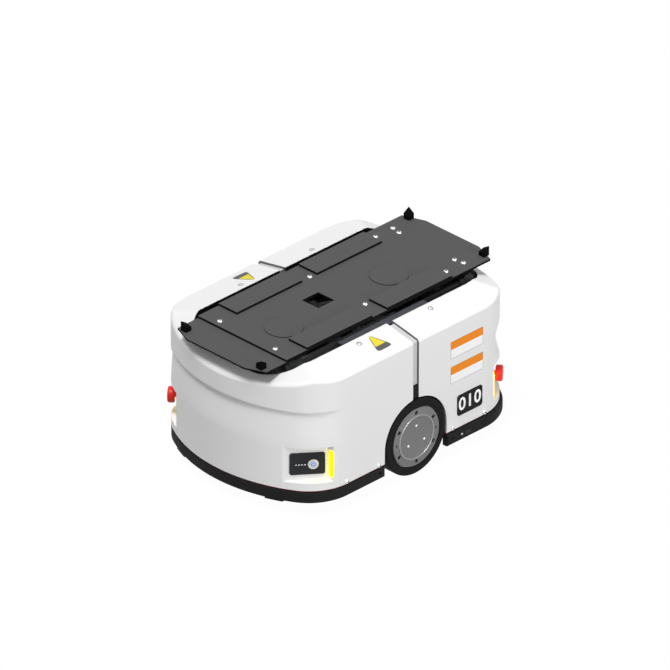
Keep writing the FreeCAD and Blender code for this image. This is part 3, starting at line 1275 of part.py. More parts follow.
digits = Piece("number_plate", "body_half_width")
digits.pad(digits.draw("YZ_Plane").rectangle(
    "number_start", "number_start + number_width", "number_bottom", "number_bottom + number_height"),
    "number_thick")
digits.dress("Fillet", "number_round", lambda edge, middle: edge.Length < 2 * number("number_thick"))
keep(digits)

seam_blocks = []
for side in (-1, 1):
    outer = f"{side} * (body_half_width - seam_block_sunk)"
    inner = f"{side} * (body_half_width - shell_wall)"
    x0, x1 = (inner, outer) if side > 0 else (outer, inner)
    seam_blocks.append(box("seam_block", x0, x1, "-seam_half + fit_gap", "seam_half - fit_gap",
                           "2 * wheel_radius + arch_gap + fit_gap", "seam_block_top"))
keep(join("Compound", "seam_blocks", *seam_blocks))

# --- screws ---------------------------------------------------------------------------------------


def screw(length, x, y, z, axis=Z_AXIS, angle=0.0):
    """An M6 button-head screw, its head seated at the given point and pointing along its own Z."""
    made = Piece("screw", x, y, z, axis, angle)
    made.revolve(made.draw("XZ_Plane").polygon(
        ("0", f"-({length})"), ("screw_shank", f"-({length})"), ("screw_shank", "0"), ("screw_head", "0"),
        ("screw_head", "0.3 * screw_rise"), ("0.75 * screw_head", "0.8 * screw_rise"),
        ("0.45 * screw_head", "screw_rise"), ("0", "screw_rise")))
    return made.pocket(made.draw(height="screw_rise").circle("0", "0", "screw_socket"), "0.6 * screw_rise")


plate_screws = []
for x, y in PLATE_SCREWS:
    plate_screws.append(screw("plate_thick + nose_thick", x, y, "plate_top"))
keep(join("Compound", "plate_screws", *plate_screws))

shell_screws = []
FALL = "flank_drop / (body_half_width - opening_half_width)"
SCREW_SEAT = f"(flank_top - {FALL} * (top_screw_x - opening_half_width - screw_head))"
for side_x in (-1, 1):
    for side_y in (-1, 1):
        shell_screws.append(screw(f"{SCREW_SEAT} - ear_top + frame_sheet", f"{side_x} * top_screw_x",
                                  f"{side_y} * top_screw_y", SCREW_SEAT))
        for spot in ("side_screw_near", "side_screw_far"):
            y = f"{side_y} * {spot}"
            shell_screws.append(screw("tab_inset + tab_thick", f"{side_x} * body_half_width", y,
                                      "side_screw_z", Y_AXIS, 90 * side_x))
keep(join("Compound", "shell_screws", *shell_screws))

# --- checks and files -----------------------------------------------------------------------------

doc.recompute()
for item in doc.Objects:
    if {"Invalid", "Error"} & set(item.State):
        raise ValueError(f"{item.Label}: {item.State}")
for node in NODES:
    if node.Shape.isNull() or not node.Shape.isValid():
        raise ValueError(f"{node.Label}: no valid shape")
for node in NODES:
    node.Shape.exportStep(f"parts/{node.Label}.step")
    print(f"{node.Label:28s}{len(node.Shape.Solids):3d} solids {node.Shape.Volume / 1000:10.1f} cm3")
print(f"{len(NODES)} nodes")
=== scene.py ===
"""Looks of a low lifting mobile robot, laid out as an add-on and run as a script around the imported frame."""

import json
from math import acos, asin, cos, hypot, pi, radians, sin, sqrt, tau

import bmesh
import bpy
from bpy.props import FloatProperty, FloatVectorProperty, IntProperty, PointerProperty, StringProperty
from mathutils import Matrix, Vector


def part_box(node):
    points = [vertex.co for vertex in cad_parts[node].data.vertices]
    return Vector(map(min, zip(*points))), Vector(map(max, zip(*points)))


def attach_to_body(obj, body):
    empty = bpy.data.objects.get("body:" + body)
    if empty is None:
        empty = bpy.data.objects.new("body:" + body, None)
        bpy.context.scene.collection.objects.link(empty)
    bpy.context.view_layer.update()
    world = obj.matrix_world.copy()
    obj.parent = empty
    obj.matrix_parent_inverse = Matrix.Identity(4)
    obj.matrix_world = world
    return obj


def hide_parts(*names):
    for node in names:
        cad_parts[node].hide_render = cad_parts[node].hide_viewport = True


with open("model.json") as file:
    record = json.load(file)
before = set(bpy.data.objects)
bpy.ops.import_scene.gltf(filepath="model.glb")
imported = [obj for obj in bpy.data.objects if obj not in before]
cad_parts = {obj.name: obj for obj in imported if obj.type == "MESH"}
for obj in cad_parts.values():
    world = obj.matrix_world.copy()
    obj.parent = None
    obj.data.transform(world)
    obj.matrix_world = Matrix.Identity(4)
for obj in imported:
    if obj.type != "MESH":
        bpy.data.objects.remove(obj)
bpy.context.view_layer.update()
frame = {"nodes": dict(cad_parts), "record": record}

bl_info = {
    "name": "Lifting mobile robot",
    "version": (1, 0, 0),
    "blender": (4, 5, 0),
    "location": "View3D > Sidebar > Robot",
    "description": "Builds the covers, platform, wheels, controls and finishes of a lifting mobile robot",
    "category": "Add Mesh",
}

MM = 0.001

# --- places read from the frame -------------------------------------------------------------------

SHELL_LOW, SHELL_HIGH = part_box("front_shell")
HALF_WIDTH, HALF_LENGTH = SHELL_HIGH[0], -SHELL_LOW[1]
SHELL_FOOT, FLANK_TOP = SHELL_LOW[2], SHELL_HIGH[2]
PLATE_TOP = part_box("lift_plate")[1][2]
WHEEL_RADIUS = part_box("tyre_right")[1][2] / 2
SIDES = ((1, "right"), (-1, "left"))

# outline of the covers: straight side, corner curve and nose curve
CORNER_RADIUS, END_RADIUS = 110 * MM, 350 * MM
END_CENTRE = END_RADIUS - HALF_LENGTH
CORNER_X = HALF_WIDTH - CORNER_RADIUS
CORNER_Y = sqrt((END_RADIUS - CORNER_RADIUS) ** 2 - CORNER_X**2) - END_CENTRE
CORNER_SWEEP = pi / 2 - asin(CORNER_X / (END_RADIUS - CORNER_RADIUS))
NOSE_SWEEP = pi / 2 - CORNER_SWEEP
BUMPER_START = -88.2 * MM

# top of the covers, the opening for the platform, the seam and the wheel arch
OPENING_X, OPENING_Y, OPENING_CORNER = HALF_WIDTH - 77 * MM, HALF_LENGTH - 32 * MM, 88 * MM
FLANK_WIDTH, FLANK_FALL = HALF_WIDTH - OPENING_X, 14.4 * MM
HOOD_LENGTH, HOOD_FALL = 95 * MM, 38 * MM
TOP_BLEND = 0.7 * MM
RIM, LEDGE, LIP_HEIGHT = 7 * MM, 3 * MM, 14 * MM
SHELL_WALL = 5 * MM
SEAM_HALF, SEAM_DEPTH, LIP_END = 8.2 * MM, 5 * MM, 7.9 * MM
ARCH_RADIUS = WHEEL_RADIUS + 3.2 * MM

# recesses in the corners: floor, roof, inner corner and how far the lamp wall leans
RECESS_FLOOR, RECESS_ROOF = 74 * MM, 154 * MM
RECESS_NOSE_TURN = asin((HALF_WIDTH - 76 * MM) / END_RADIUS)
RECESS_IN = Vector((HALF_WIDTH - 19.2 * MM, 105 * MM - HALF_LENGTH))
RECESS_LEAN = 2.6 / 19.2

# smallest radius of a turned piece
AXIS = 0.01 * MM

# camera and floor, in degrees and metres
CAMERA_RISE, CAMERA_DISTANCE = 29.84, 37.2
CAMERA_AIM = Vector((123.1 * MM, -124.5 * MM, 328 * MM))
FLOOR_REACH, FLOOR_GLOW = 9.0, 1.08


def settings():
    """The values shown in the side panel."""
    return bpy.context.scene.robot


# --- mesh helpers ---------------------------------------------------------------------------------


def mm(*points):
    """Points given in millimetres."""
    return [tuple(value * MM for value in point) for point in points]


def link_mesh(name, mesh, *materials):
    """Puts a mesh into the scene as an object at the origin."""
    obj = bpy.data.objects.new(name, mesh)
    bpy.context.scene.collection.objects.link(obj)
    for material in materials:
        mesh.materials.append(material)
    return obj


def tube_faces(rings, steps):
    """Faces between closed rings of points that follow each other."""
    pairs = [(i * steps + k, i * steps + (k + 1) % steps) for i in range(rings - 1) for k in range(steps)]
    return [(a, b, b + steps, a + steps) for a, b in pairs]


def add_mesh(name, points, faces, *materials):
    """A mesh object at the origin with its place in its mesh."""
    mesh = bpy.data.meshes.new(name)
    mesh.from_pydata([tuple(p) for p in points], [], faces)
    mesh.validate()
    return link_mesh(name, mesh, *materials)


def bake_modifiers(obj):
    """Turns the evaluated object into its plain mesh."""
    graph = bpy.context.evaluated_depsgraph_get()
    graph.update()
    mesh = bpy.data.meshes.new_from_object(obj.evaluated_get(graph), depsgraph=graph)
    old = obj.data
    obj.modifiers.clear()
    obj.data = mesh
    bpy.data.meshes.remove(old)
    return obj


def smooth(obj, angle=35, even=False):
    """Smooth shading with edges sharper than the angle kept; even keeps large flat faces flat."""
    mesh = obj.data
    mesh.polygons.foreach_set("use_smooth", [True] * len(mesh.polygons))
    mesh.set_sharp_from_angle(angle=radians(angle))
    if even:
        made = obj.modifiers.new("even", "WEIGHTED_NORMAL")
        made.keep_sharp = True
        bake_modifiers(obj)
    return obj


def bevel(obj, width, segments=2, angle=35):
    """Rounds the edges sharper than the angle."""
    made = obj.modifiers.new("round", "BEVEL")
    made.width = width
    made.segments = segments
    made.limit_method = "ANGLE"
    made.angle_limit = radians(angle)
    made.use_clamp_overlap = True
    made.miter_outer = "MITER_ARC"
    return bake_modifiers(obj)


def outward(obj, slivers=0.0):
    """Merges doubles, drops faces thinner than slivers and points every face outwards."""
    work = bmesh.new()
    work.from_mesh(obj.data)
    bmesh.ops.remove_doubles(work, verts=work.verts, dist=1e-6)
    if slivers:
        bmesh.ops.dissolve_degenerate(work, edges=work.edges, dist=slivers)
    bmesh.ops.recalc_face_normals(work, faces=work.faces)
    work.to_mesh(obj.data)
    work.free()
    return obj


def prism(name, near, far, material):
    """A closed bar between two outlines that have the same number of points."""
    count = len(near)
    faces = [tuple(reversed(range(count))), tuple(range(count, 2 * count))] + tube_faces(2, count)
    return outward(add_mesh(name, [*near, *far], faces, material))


def attach(obj, body, slot, *nodes):
    """Puts a finished piece on its body, in place of the frame's nodes."""
    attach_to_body(obj, body)
    if nodes:
        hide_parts(*nodes)
    return obj


def node_body(node):
    """The moving body that a frame node belongs to."""
    bodies = frame["record"]["behaviour"]["bodies"]
    return next(name for name, nodes in bodies.items() if node in nodes)


def refined(name, node, slot, width=0.0, segments=2, painted_side_shade=None):
    """A merged copy of a frame node with rounded edges, in its place."""
    work = bmesh.new()
    work.from_mesh(frame["nodes"][node].data)
    bmesh.ops.remove_doubles(work, verts=work.verts, dist=2e-6)
    bmesh.ops.dissolve_limit(
        work, angle_limit=radians(1.2), verts=work.verts, edges=work.edges, use_dissolve_boundaries=False
    )
    # upright faces take the darker finish when one is given: painted shade on the sides
    for face in work.faces:
        face.material_index = 1 if painted_side_shade and abs(face.normal.z) < 0.5 else 0
    mesh = bpy.data.meshes.new(name)
    work.to_mesh(mesh)
    work.free()
    obj = link_mesh(name, mesh, finish(slot), *([finish(painted_side_shade)] if painted_side_shade else []))
    if width:
        bevel(obj, width, segments, 32)
    smooth(obj, 50 if width else 30, True)
    return attach(obj, node_body(node), slot, node)


def lathe(name, profile, place, material, steps=96, sharp=30):
    """Turns (radius, height) points about Z and puts the result in its place."""
    points = [(radius * cos(tau * k / steps), radius * sin(tau * k / steps), height)
              for radius, height in profile for k in range(steps)]
    obj = outward(add_mesh(name, points, tube_faces(len(profile), steps), material), 1e-7)
    obj.data.transform(place)
    return smooth(obj, sharp)


def arc_profile(radius, height, bend, start, end, steps=6):
    """Points of a rounding in a lathe's profile, angles in degrees from the radius direction."""
    turns = [radians(start + (end - start) * k / steps) for k in range(steps + 1)]
    return [(radius + bend * cos(turn), height + bend * sin(turn)) for turn in turns]


def facing_place(at, direction):
    """Place at a point whose Z axis looks along the direction."""
    return Matrix.Translation(at) @ direction.to_track_quat("Z", "Y").to_matrix().to_4x4()


def side_turn(side):
    """Turns a flat piece so that its face looks out of the body's side."""
    return Matrix(((0, 0, side, 0), (side, 0, 0, 0), (0, 1, 0, 0), (0, 0, 0, 1)))


def end_turn(obj, rear):
    """Turns a piece made for the front to the rear."""
    if rear:
        obj.data.transform(Matrix.Rotation(pi, 4, "Z"))
    return obj


def joined(name, objects):
    """Joins meshes that sit at the origin into one, keeping their materials."""
    work = bmesh.new()
    materials = []
    for obj in objects:
        start = len(work.faces)
        work.from_mesh(obj.data)
        work.faces.ensure_lookup_table()
        materials += [slot for slot in obj.data.materials if slot not in materials]
        order = [materials.index(slot) for slot in obj.data.materials]
        for face in work.faces[start:]:
            face.material_index = order[face.material_index] if order else 0
    mesh = bpy.data.meshes.new(name)
    work.to_mesh(mesh)
    work.free()
    for obj in objects:
        bpy.data.objects.remove(obj)
    return link_mesh(name, mesh, *materials)


def rounded_rectangle(width, height, radius, steps=6):
    """Corner-rounded outline round the origin, anticlockwise."""
    points = []
    for k, (side_x, side_y) in enumerate(((1, -1), (1, 1), (-1, 1), (-1, -1))):
        for i in range(steps + 1):
            turn = -pi / 2 + k * pi / 2 + (pi / 2) * i / steps
            points.append((side_x * (width / 2 - radius) + radius * cos(turn),
                           side_y * (height / 2 - radius) + radius * sin(turn)))
    return points


def rounded_corners(corners, radius, steps=5):
    """Outline of a flat shape with rounded corners."""
    made = []
    for k, corner in enumerate(corners):
        before, after = corners[k - 1], corners[(k + 1) % len(corners)]
        one, two = (before - corner).normalized(), (after - corner).normalized()
        half = acos(max(min(one.dot(two), 1), -1)) / 2
        reach = radius / max(sin(half) / cos(half), 0.2)
        reach = min(reach, (before - corner).length / 2, (after - corner).length / 2)
        start, end = corner + one * reach, corner + two * reach
        for i in range(steps + 1):
            t = i / steps
            made.append((start * (1 - t) + corner * t).lerp(corner * (1 - t) + end * t, t))
    return made


def slab(name, shape, low, high, place, material, width=0.0, segments=2):
    """A plate over an outline in its own XY plane."""
    obj = prism(name, [(x, y, low) for x, y in shape], [(x, y, high) for x, y in shape], material)
    if width:
        bevel(obj, width, segments, 50)
    obj.data.transform(place)
    return smooth(obj, 40, True)


def cut(obj, tool):
    """Cuts a tool out of an object and drops the tool."""
    made = obj.modifiers.new("cut", "BOOLEAN")
    made.operation = "DIFFERENCE"
    made.solver = "EXACT"
    made.object = tool
    bake_modifiers(obj)
    bpy.data.objects.remove(tool)
    return obj


def cut_hole(obj, side, radius, inner, outer, y, z, material):
    """Cuts a round hole in from the body's side."""
    edge, length = radius * 0.08, outer - inner
    profile = [(AXIS, 0), (radius - edge, 0), (radius, edge), (radius, length - edge),
               (radius - edge, length), (AXIS, length)]
    place = facing_place(Vector((side * inner, y, z)), Vector((side, 0, 0)))
    return cut(obj, lathe("hole", profile, place, material, 24))


# --- finishes -------------------------------------------------------------------------------------


class Tree:
    """Builds a node tree from short lines."""

    def __init__(self, tree):
        self.tree = tree

    def node(self, kind, **values):
        made = self.tree.nodes.new(kind)
        for name, value in values.items():
            setattr(made, name, value)
        return made

    def link(self, source, target):
        self.tree.links.new(source, target)

    def math(self, operation, first, second):
        """One sum of two values, each a socket or a number."""
        made = self.node("ShaderNodeMath", operation=operation)
        for value, target in zip((first, second), made.inputs):
            if isinstance(value, float):
                target.default_value = value
            else:
                self.link(value, target)
        return made.outputs[0]

    def set(self, node, **values):
        for name, value in values.items():
            node.inputs[name.replace("_", " ")].default_value = value
        return node


def new_group(name, inputs, outputs):
    """A new node group with its inputs and outputs."""
    group = bpy.data.node_groups.new(name, "ShaderNodeTree")
    for label, kind, value in inputs:
        socket = group.interface.new_socket(label, in_out="INPUT", socket_type=kind)
        socket.default_value = value
    for label, kind in outputs:
        group.interface.new_socket(label, in_out="OUTPUT", socket_type=kind)
    tree = Tree(group)
    return tree, tree.node("NodeGroupInput"), tree.node("NodeGroupOutput")


def grain_group():
    """Fine moulded or sprayed grain: a height and a mask."""
    if "surface_grain" in bpy.data.node_groups:
        return bpy.data.node_groups["surface_grain"]
    tree, start, end = new_group(
        "surface_grain",
        (("Scale", "NodeSocketFloat", 400.0), ("Soft Scale", "NodeSocketFloat", 20.0)),
        (("Height", "NodeSocketFloat"), ("Mask", "NodeSocketFloat")),
    )
    place = tree.node("ShaderNodeTexCoord")
    fine = tree.node("ShaderNodeTexNoise")
    tree.set(fine, Detail=4.0, Roughness=0.6)
    soft = tree.node("ShaderNodeTexNoise")
    tree.set(soft, Detail=3.0, Roughness=0.5)
    for noise, scale in ((fine, "Scale"), (soft, "Soft Scale")):
        tree.link(place.outputs["Object"], noise.inputs["Vector"])
        tree.link(start.outputs[scale], noise.inputs["Scale"])
    tree.link(fine.outputs["Fac"], end.inputs["Height"])
    tree.link(soft.outputs["Fac"], end.inputs["Mask"])
    return tree.tree


def tint_group():
    """Mixes a colour with a darker and a lighter shade of itself by two masks."""
    if "shade_variation" in bpy.data.node_groups:
        return bpy.data.node_groups["shade_variation"]
    tree, start, end = new_group(
        "shade_variation",
        (("Color", "NodeSocketColor", (0.5, 0.5, 0.5, 1.0)), ("Fine", "NodeSocketFloat", 0.5),
         ("Soft", "NodeSocketFloat", 0.5), ("Fine Amount", "NodeSocketFloat", 0.1),
         ("Soft Amount", "NodeSocketFloat", 0.05)),
        (("Color", "NodeSocketColor"),),
    )
    parts = []
    for mask in ("Fine", "Soft"):
        centred = tree.math("SUBTRACT", start.outputs[mask], 0.5)
        parts.append(tree.math("MULTIPLY", centred, start.outputs[mask + " Amount"]))
    shade = tree.node("ShaderNodeHueSaturation")
    tree.link(start.outputs["Color"], shade.inputs["Color"])
    tree.link(tree.math("ADD", tree.math("ADD", *parts), 1.0), shade.inputs["Value"])
    tree.link(shade.outputs["Color"], end.inputs["Color"])
    return tree.tree


def wear_group():
    """Edge wear: brighter where the surface turns outwards, broken up by noise."""
    if "edge_wear" in bpy.data.node_groups:
        return bpy.data.node_groups["edge_wear"]
    tree, start, end = new_group(
        "edge_wear",
        (("Amount", "NodeSocketFloat", 0.3), ("Scale", "NodeSocketFloat", 120.0)),
        (("Mask", "NodeSocketFloat"),),
    )
    surface = tree.node("ShaderNodeNewGeometry")
    ramp = tree.node("ShaderNodeValToRGB")
    ramp.color_ramp.elements[0].position = 0.53
    ramp.color_ramp.elements[1].position = 0.62
    tree.link(surface.outputs["Pointiness"], ramp.inputs["Fac"])
    place = tree.node("ShaderNodeTexCoord")
    noise = tree.node("ShaderNodeTexNoise")
    tree.set(noise, Detail=5.0)
    tree.link(place.outputs["Object"], noise.inputs["Vector"])
    tree.link(start.outputs["Scale"], noise.inputs["Scale"])
    broken = tree.math("MULTIPLY", ramp.outputs["Color"], noise.outputs["Fac"])
    tree.link(tree.math("MULTIPLY", broken, start.outputs["Amount"]), end.inputs["Mask"])
    return tree.tree


def surface_finish(name, color, roughness, scale=500.0, bump=0.05, fine=0.1, soft=0.05, specular=0.5,
                   metallic=0.0, soft_scale=18.0, rough_spread=0.08, wear=0.0, stretch=None,
                   emission=None, strength=0.0):
    """A finish whose colour, roughness and height vary over the surface."""
    if name + "_finish" in bpy.data.materials:
        return bpy.data.materials[name + "_finish"]
    material = bpy.data.materials.new(name + "_finish")
    material.use_nodes = True
    tree = Tree(material.node_tree)
    shader = material.node_tree.nodes["Principled BSDF"]
    grain = tree.node("ShaderNodeGroup", node_tree=grain_group())
    tree.set(grain, Scale=scale, Soft_Scale=soft_scale)
    height, mask = grain.outputs["Height"], grain.outputs["Mask"]
    if stretch:
        place = tree.node("ShaderNodeTexCoord")
        drawn = tree.node("ShaderNodeMapping")
        drawn.inputs["Scale"].default_value = stretch
        lines = tree.node("ShaderNodeTexNoise")
        tree.set(lines, Scale=scale, Detail=3.0)
        tree.link(place.outputs["Object"], drawn.inputs["Vector"])
        tree.link(drawn.outputs["Vector"], lines.inputs["Vector"])
        height = lines.outputs["Fac"]
    tint = tree.node("ShaderNodeGroup", node_tree=tint_group())
    tree.set(tint, Color=(*color, 1.0), Fine_Amount=fine, Soft_Amount=soft)
    tree.link(height, tint.inputs["Fine"])
    tree.link(mask, tint.inputs["Soft"])
    shade = tint.outputs["Color"]
    if wear:
        edge = tree.node("ShaderNodeGroup", node_tree=wear_group())
        tree.set(edge, Amount=wear)
        mix = tree.node("ShaderNodeMix", data_type="RGBA")
        mix.inputs[7].default_value = WORN_EDGE
        tree.link(edge.outputs["Mask"], mix.inputs[0])
        tree.link(shade, mix.inputs[6])
        shade = mix.outputs[2]
    tree.link(shade, shader.inputs["Base Color"])
    spread = tree.node("ShaderNodeMapRange")
    tree.set(spread, To_Min=max(roughness - rough_spread, 0.02), To_Max=min(roughness + rough_spread, 1.0))
    tree.link(mask, spread.inputs["Value"])
    tree.link(spread.outputs["Result"], shader.inputs["Roughness"])
    relief = tree.node("ShaderNodeBump")
    tree.set(relief, Strength=bump, Distance=0.1 * MM)
    tree.link(height, relief.inputs["Height"])
    tree.link(relief.outputs["Normal"], shader.inputs["Normal"])
    tree.set(shader, Metallic=metallic, Specular_IOR_Level=specular)
    if emission:
        tree.set(shader, Emission_Color=(*emission, 1.0), Emission_Strength=strength)
    return material


WORN_EDGE = (0.6, 0.6, 0.6, 1.0)

# colour, roughness, grain scale, bump, fine and soft shade variation, specular, and what else differs
FINISHES = {
    "cover_white": ((0.84, 0.84, 0.84), 0.42, 900, 0.05, 0.012, 0.015, 0.2,
                    dict(soft_scale=6, rough_spread=0.05)),
    "plate_grey": ((0.088, 0.088, 0.088), 0.7, 1500, 0.25, 0.22, 0.05, 0.12,
                   dict(soft_scale=40, rough_spread=0.05)),
    # the plates' upright faces: the same grey paint, darkened as painted shade
    "plate_side_painted_shade": ((0.006, 0.006, 0.006), 0.7, 1200, 0.05, 0.2, 0.05, 0.05),
    "post_black": ((0.003, 0.003, 0.003), 0.75, 900, 0.12, 0.2, 0.1, 0.03),
    "bumper_black": ((0.011, 0.011, 0.011), 0.7, 700, 0.2, 0.25, 0.15, 0.12),
    "seal_red": ((0.26, 0.02, 0.015), 0.6, 500, 0.1, 0.1, 0.05, 0.2),
    "frame_slate": ((0.042, 0.045, 0.058), 0.55, 1100, 0.2, 0.15, 0.1, 0.2, dict(wear=0.25)),
    "base_steel": ((0.016, 0.016, 0.017), 0.55, 1100, 0.2, 0.2, 0.1, 0.15, dict(wear=0.2)),
    "bright_steel": ((0.58, 0.59, 0.60), 0.35, 350, 0.06, 0.12, 0.08, 0.5,
                     dict(metallic=0.6, stretch=(1, 0.06, 1))),
    "screw_steel": ((0.80, 0.80, 0.81), 0.25, 600, 0.05, 0.08, 0.05, 0.5, dict(metallic=0.85)),
    # dark steel inside the screw sockets: painted shade in the hollow
    "socket_painted_shade": ((0.10, 0.10, 0.10), 0.5, 600, 0.05, 0.2, 0.05, 0.2, dict(metallic=0.6)),
    "cast_alloy": ((0.46, 0.47, 0.48), 0.5, 450, 0.3, 0.2, 0.12, 0.5, dict(metallic=0.25)),
    "hub_grey": ((0.185, 0.186, 0.188), 0.5, 1100, 0.06, 0.06, 0.05, 0.2, dict(metallic=0.1)),
    # grey on the seam's floor strips, white cover plastic: painted shade in the groove
    "seam_floor_painted_shade": ((0.62, 0.62, 0.62), 0.5, 900, 0.05, 0.03, 0.05, 0.2),
    # dark grey on the rear cover's white step face at the seam: painted shade
    "seam_step_painted_shade": ((0.16, 0.16, 0.16), 0.6, 900, 0.05, 0.05, 0.05, 0.1),
    # black on the covers' inner lip by the opening: painted shade in the gap beside the platform
    "opening_painted_shade": ((0.010, 0.010, 0.010), 0.7, 900, 0.05, 0.2, 0.05, 0.08),
    "hub_ridge": ((0.36, 0.365, 0.37), 0.25, 600, 0.05, 0.1, 0.05, 0.5, dict(metallic=0.8)),
    "tyre_black": ((0.006, 0.006, 0.0065), 0.72, 500, 0.25, 0.3, 0.2, 0.12),
    "motor_black": ((0.010, 0.010, 0.011), 0.45, 900, 0.15, 0.2, 0.1, 0.25, dict(wear=0.12)),
    "bronze": ((0.55, 0.36, 0.16), 0.35, 500, 0.1, 0.15, 0.05, 0.5, dict(metallic=1.0)),
    "caster_grey": ((0.05, 0.05, 0.054), 0.65, 500, 0.2, 0.2, 0.05, 0.2),
    "box_black": ((0.020, 0.021, 0.023), 0.6, 600, 0.25, 0.2, 0.05, 0.2),
    "fin_alloy": ((0.32, 0.33, 0.35), 0.38, 400, 0.1, 0.12, 0.05, 0.5,
                  dict(metallic=1.0, stretch=(0.05, 1, 1))),
    "panel_black": ((0.020, 0.021, 0.023), 0.45, 900, 0.05, 0.1, 0.05, 0.15),
    "button_steel": ((0.60, 0.62, 0.64), 0.35, 600, 0.05, 0.1, 0.05, 0.5, dict(metallic=0.4)),
    "stop_red": ((0.74, 0.018, 0.011), 0.35, 700, 0.05, 0.08, 0.06, 0.3),
    "stop_grey": ((0.90, 0.89, 0.88), 0.45, 700, 0.05, 0.06, 0.05, 0.2),
    # the stop collars' glow is painted light, standing in for light from the lamps beside them
    "stop_ring_painted_glow": ((0.90, 0.89, 0.88), 0.45, 700, 0.05, 0.06, 0.05, 0.2,
                      dict(emission=(1.0, 0.90, 0.88), strength=0.45)),
    "number_black": ((0.008, 0.008, 0.008), 0.5, 800, 0.04, 0.15, 0.05, 0.1),
    "mark_white": ((0.98, 0.98, 0.98), 0.5, 800, 0.03, 0.02, 0.05, 0.2),
    "mark_blue": ((0.02, 0.17, 0.70), 0.45, 800, 0.05, 0.05, 0.05, 0.2,
                  dict(emission=(0.01, 0.12, 0.8), strength=0.35)),
    "sticker_orange": ((0.93, 0.28, 0.02), 0.5, 800, 0.04, 0.05, 0.05, 0.1),
    "sticker_yellow": ((0.80, 0.66, 0.05), 0.5, 800, 0.04, 0.05, 0.05, 0.1),
    "sticker_grey": ((0.11, 0.11, 0.11), 0.5, 800, 0.04, 0.1, 0.05, 0.1),
}


def finish(name):
    """The finish of that name from the table."""
    values = FINISHES[name]
    return surface_finish(name, *values[:7], **(values[7] if len(values) > 7 else {}))


def lamp_finish():
    """The lit lamps, with the colour and strength from the settings."""
    values = settings()
    return surface_finish("lamp_yellow", (0.6, 0.5, 0.0), 0.5, fine=0.05, specular=0.1,
                          emission=tuple(values.lamp_color), strength=values.lamp_strength)


# --- cover shells ---------------------------------------------------------------------------------


def top_height(x, y):
    """Height of the covers' top: flanks falling outwards, hood falling to nose and tail."""
    flank = FLANK_TOP - FLANK_FALL * max(abs(x) - OPENING_X, 0) / FLANK_WIDTH
    hood = FLANK_TOP - HOOD_FALL * (abs(y) - (HALF_LENGTH - HOOD_LENGTH)) / HOOD_LENGTH
    mix = max(TOP_BLEND - abs(flank - hood), 0) / TOP_BLEND
    return min(flank, hood) - mix * mix * TOP_BLEND / 4


def rounded_top(top, radius, inset):
    """Height of a top with a rounded edge at the inset from that edge."""
    return top - radius + sqrt(max(radius**2 - (radius - inset) ** 2, 0))


def corner_point(turn):
    """Outline point and outward direction on the front right corner, turn from the side wall."""
    out = Vector((cos(turn), -sin(turn)))
    return Vector((CORNER_X, -CORNER_Y)) + out * CORNER_RADIUS, out


def nose_point(turn):
    """Outline point and outward direction on the nose curve, turn from straight ahead."""
    out = Vector((sin(turn), -cos(turn)))
    return Vector((0, END_CENTRE)) + out * END_RADIUS, out


def recess_side_turn():
    """Where the lamp wall meets the corner curve."""
    low, high = 0.0, CORNER_SWEEP
    for _ in range(60):
        middle = (low + high) / 2
        point, _out = corner_point(middle)
        wall = RECESS_IN.y + (point.x - RECESS_IN.x) * RECESS_LEAN
        low, high = (middle, high) if point.y > wall else (low, middle)
    return low


RECESS_SIDE_TURN = recess_side_turn()


def outline(start_y):
    """Outline from the side at start_y to the nose's middle: (point, outward direction, stretch, turn)."""
    steps = max(int((CORNER_Y + start_y) / (14 * MM)), 1)
    made = [(Vector((HALF_WIDTH, start_y - (CORNER_Y + start_y) * k / steps)), Vector((1, 0)), "side", 0.0)
            for k in range(steps)]
    turns = sorted([CORNER_SWEEP * k / 22 for k in range(22)] + [RECESS_SIDE_TURN])
    made += [(*corner_point(turn), "corner", turn) for turn in turns]
    turns = sorted([NOSE_SWEEP * k / 20 for k in range(21)] + [RECESS_NOSE_TURN], reverse=True)
    return made + [(*nose_point(turn), "nose", turn) for turn in turns]


def opening_point(column, run):
    """Point of the platform opening that belongs to an outline point."""
    point, _out, kind, _turn = column
    if kind == "side":
        return Vector((OPENING_X, point.y))
    straight = OPENING_Y - OPENING_CORNER - CORNER_Y
    arc = OPENING_CORNER * pi / 2
    length = straight + arc + OPENING_X - OPENING_CORNER
    s = run * length
    if s <= straight:
        return Vector((OPENING_X, -CORNER_Y - s))
    if s <= straight + arc:
        turn = (s - straight) / OPENING_CORNER
        return Vector((OPENING_X - OPENING_CORNER + OPENING_CORNER * cos(turn),
                       -(OPENING_Y - OPENING_CORNER) - OPENING_CORNER * sin(turn)))
    return Vector((OPENING_X - OPENING_CORNER - (s - straight - arc), -OPENING_Y))


def outline_run(column):
    """Share of the outline passed from the corner's start to the middle."""
    _point, _out, kind, turn = column
    total = CORNER_SWEEP * CORNER_RADIUS + NOSE_SWEEP * END_RADIUS
    if kind == "side":
        return 0.0
    if kind == "corner":
        return turn * CORNER_RADIUS / total
    return (CORNER_SWEEP * CORNER_RADIUS + (NOSE_SWEEP - turn) * END_RADIUS) / total


FRONT_SCOOP = ((0.160, 0), (0.170, 0.09), (0.182, 0.24), (0.195, 0.43), (0.208, 0.62), (0.219, 0.78),
               (0.226, 0.88), (0.2305, 0.93), (0.2325, 0.86), (0.2335, 0.6), (0.2343, 0.25), (0.236, 0.03),
               (0.238, 0))
REAR_SCOOP = ((0.156, 0.12), (0.164, 0.30), (0.172, 0.55), (0.180, 0.78), (0.188, 0.94), (0.196, 1.0),
              (0.204, 0.97), (0.212, 0.84), (0.219, 0.64), (0.225, 0.44), (0.230, 0.26), (0.2345, 0.10),
              (0.239, 0))


def soft_step(value):
    """Eases from 0 to 1."""
    value = min(max(value, 0.0), 1.0)
    return value * value * (3 - 2 * value)


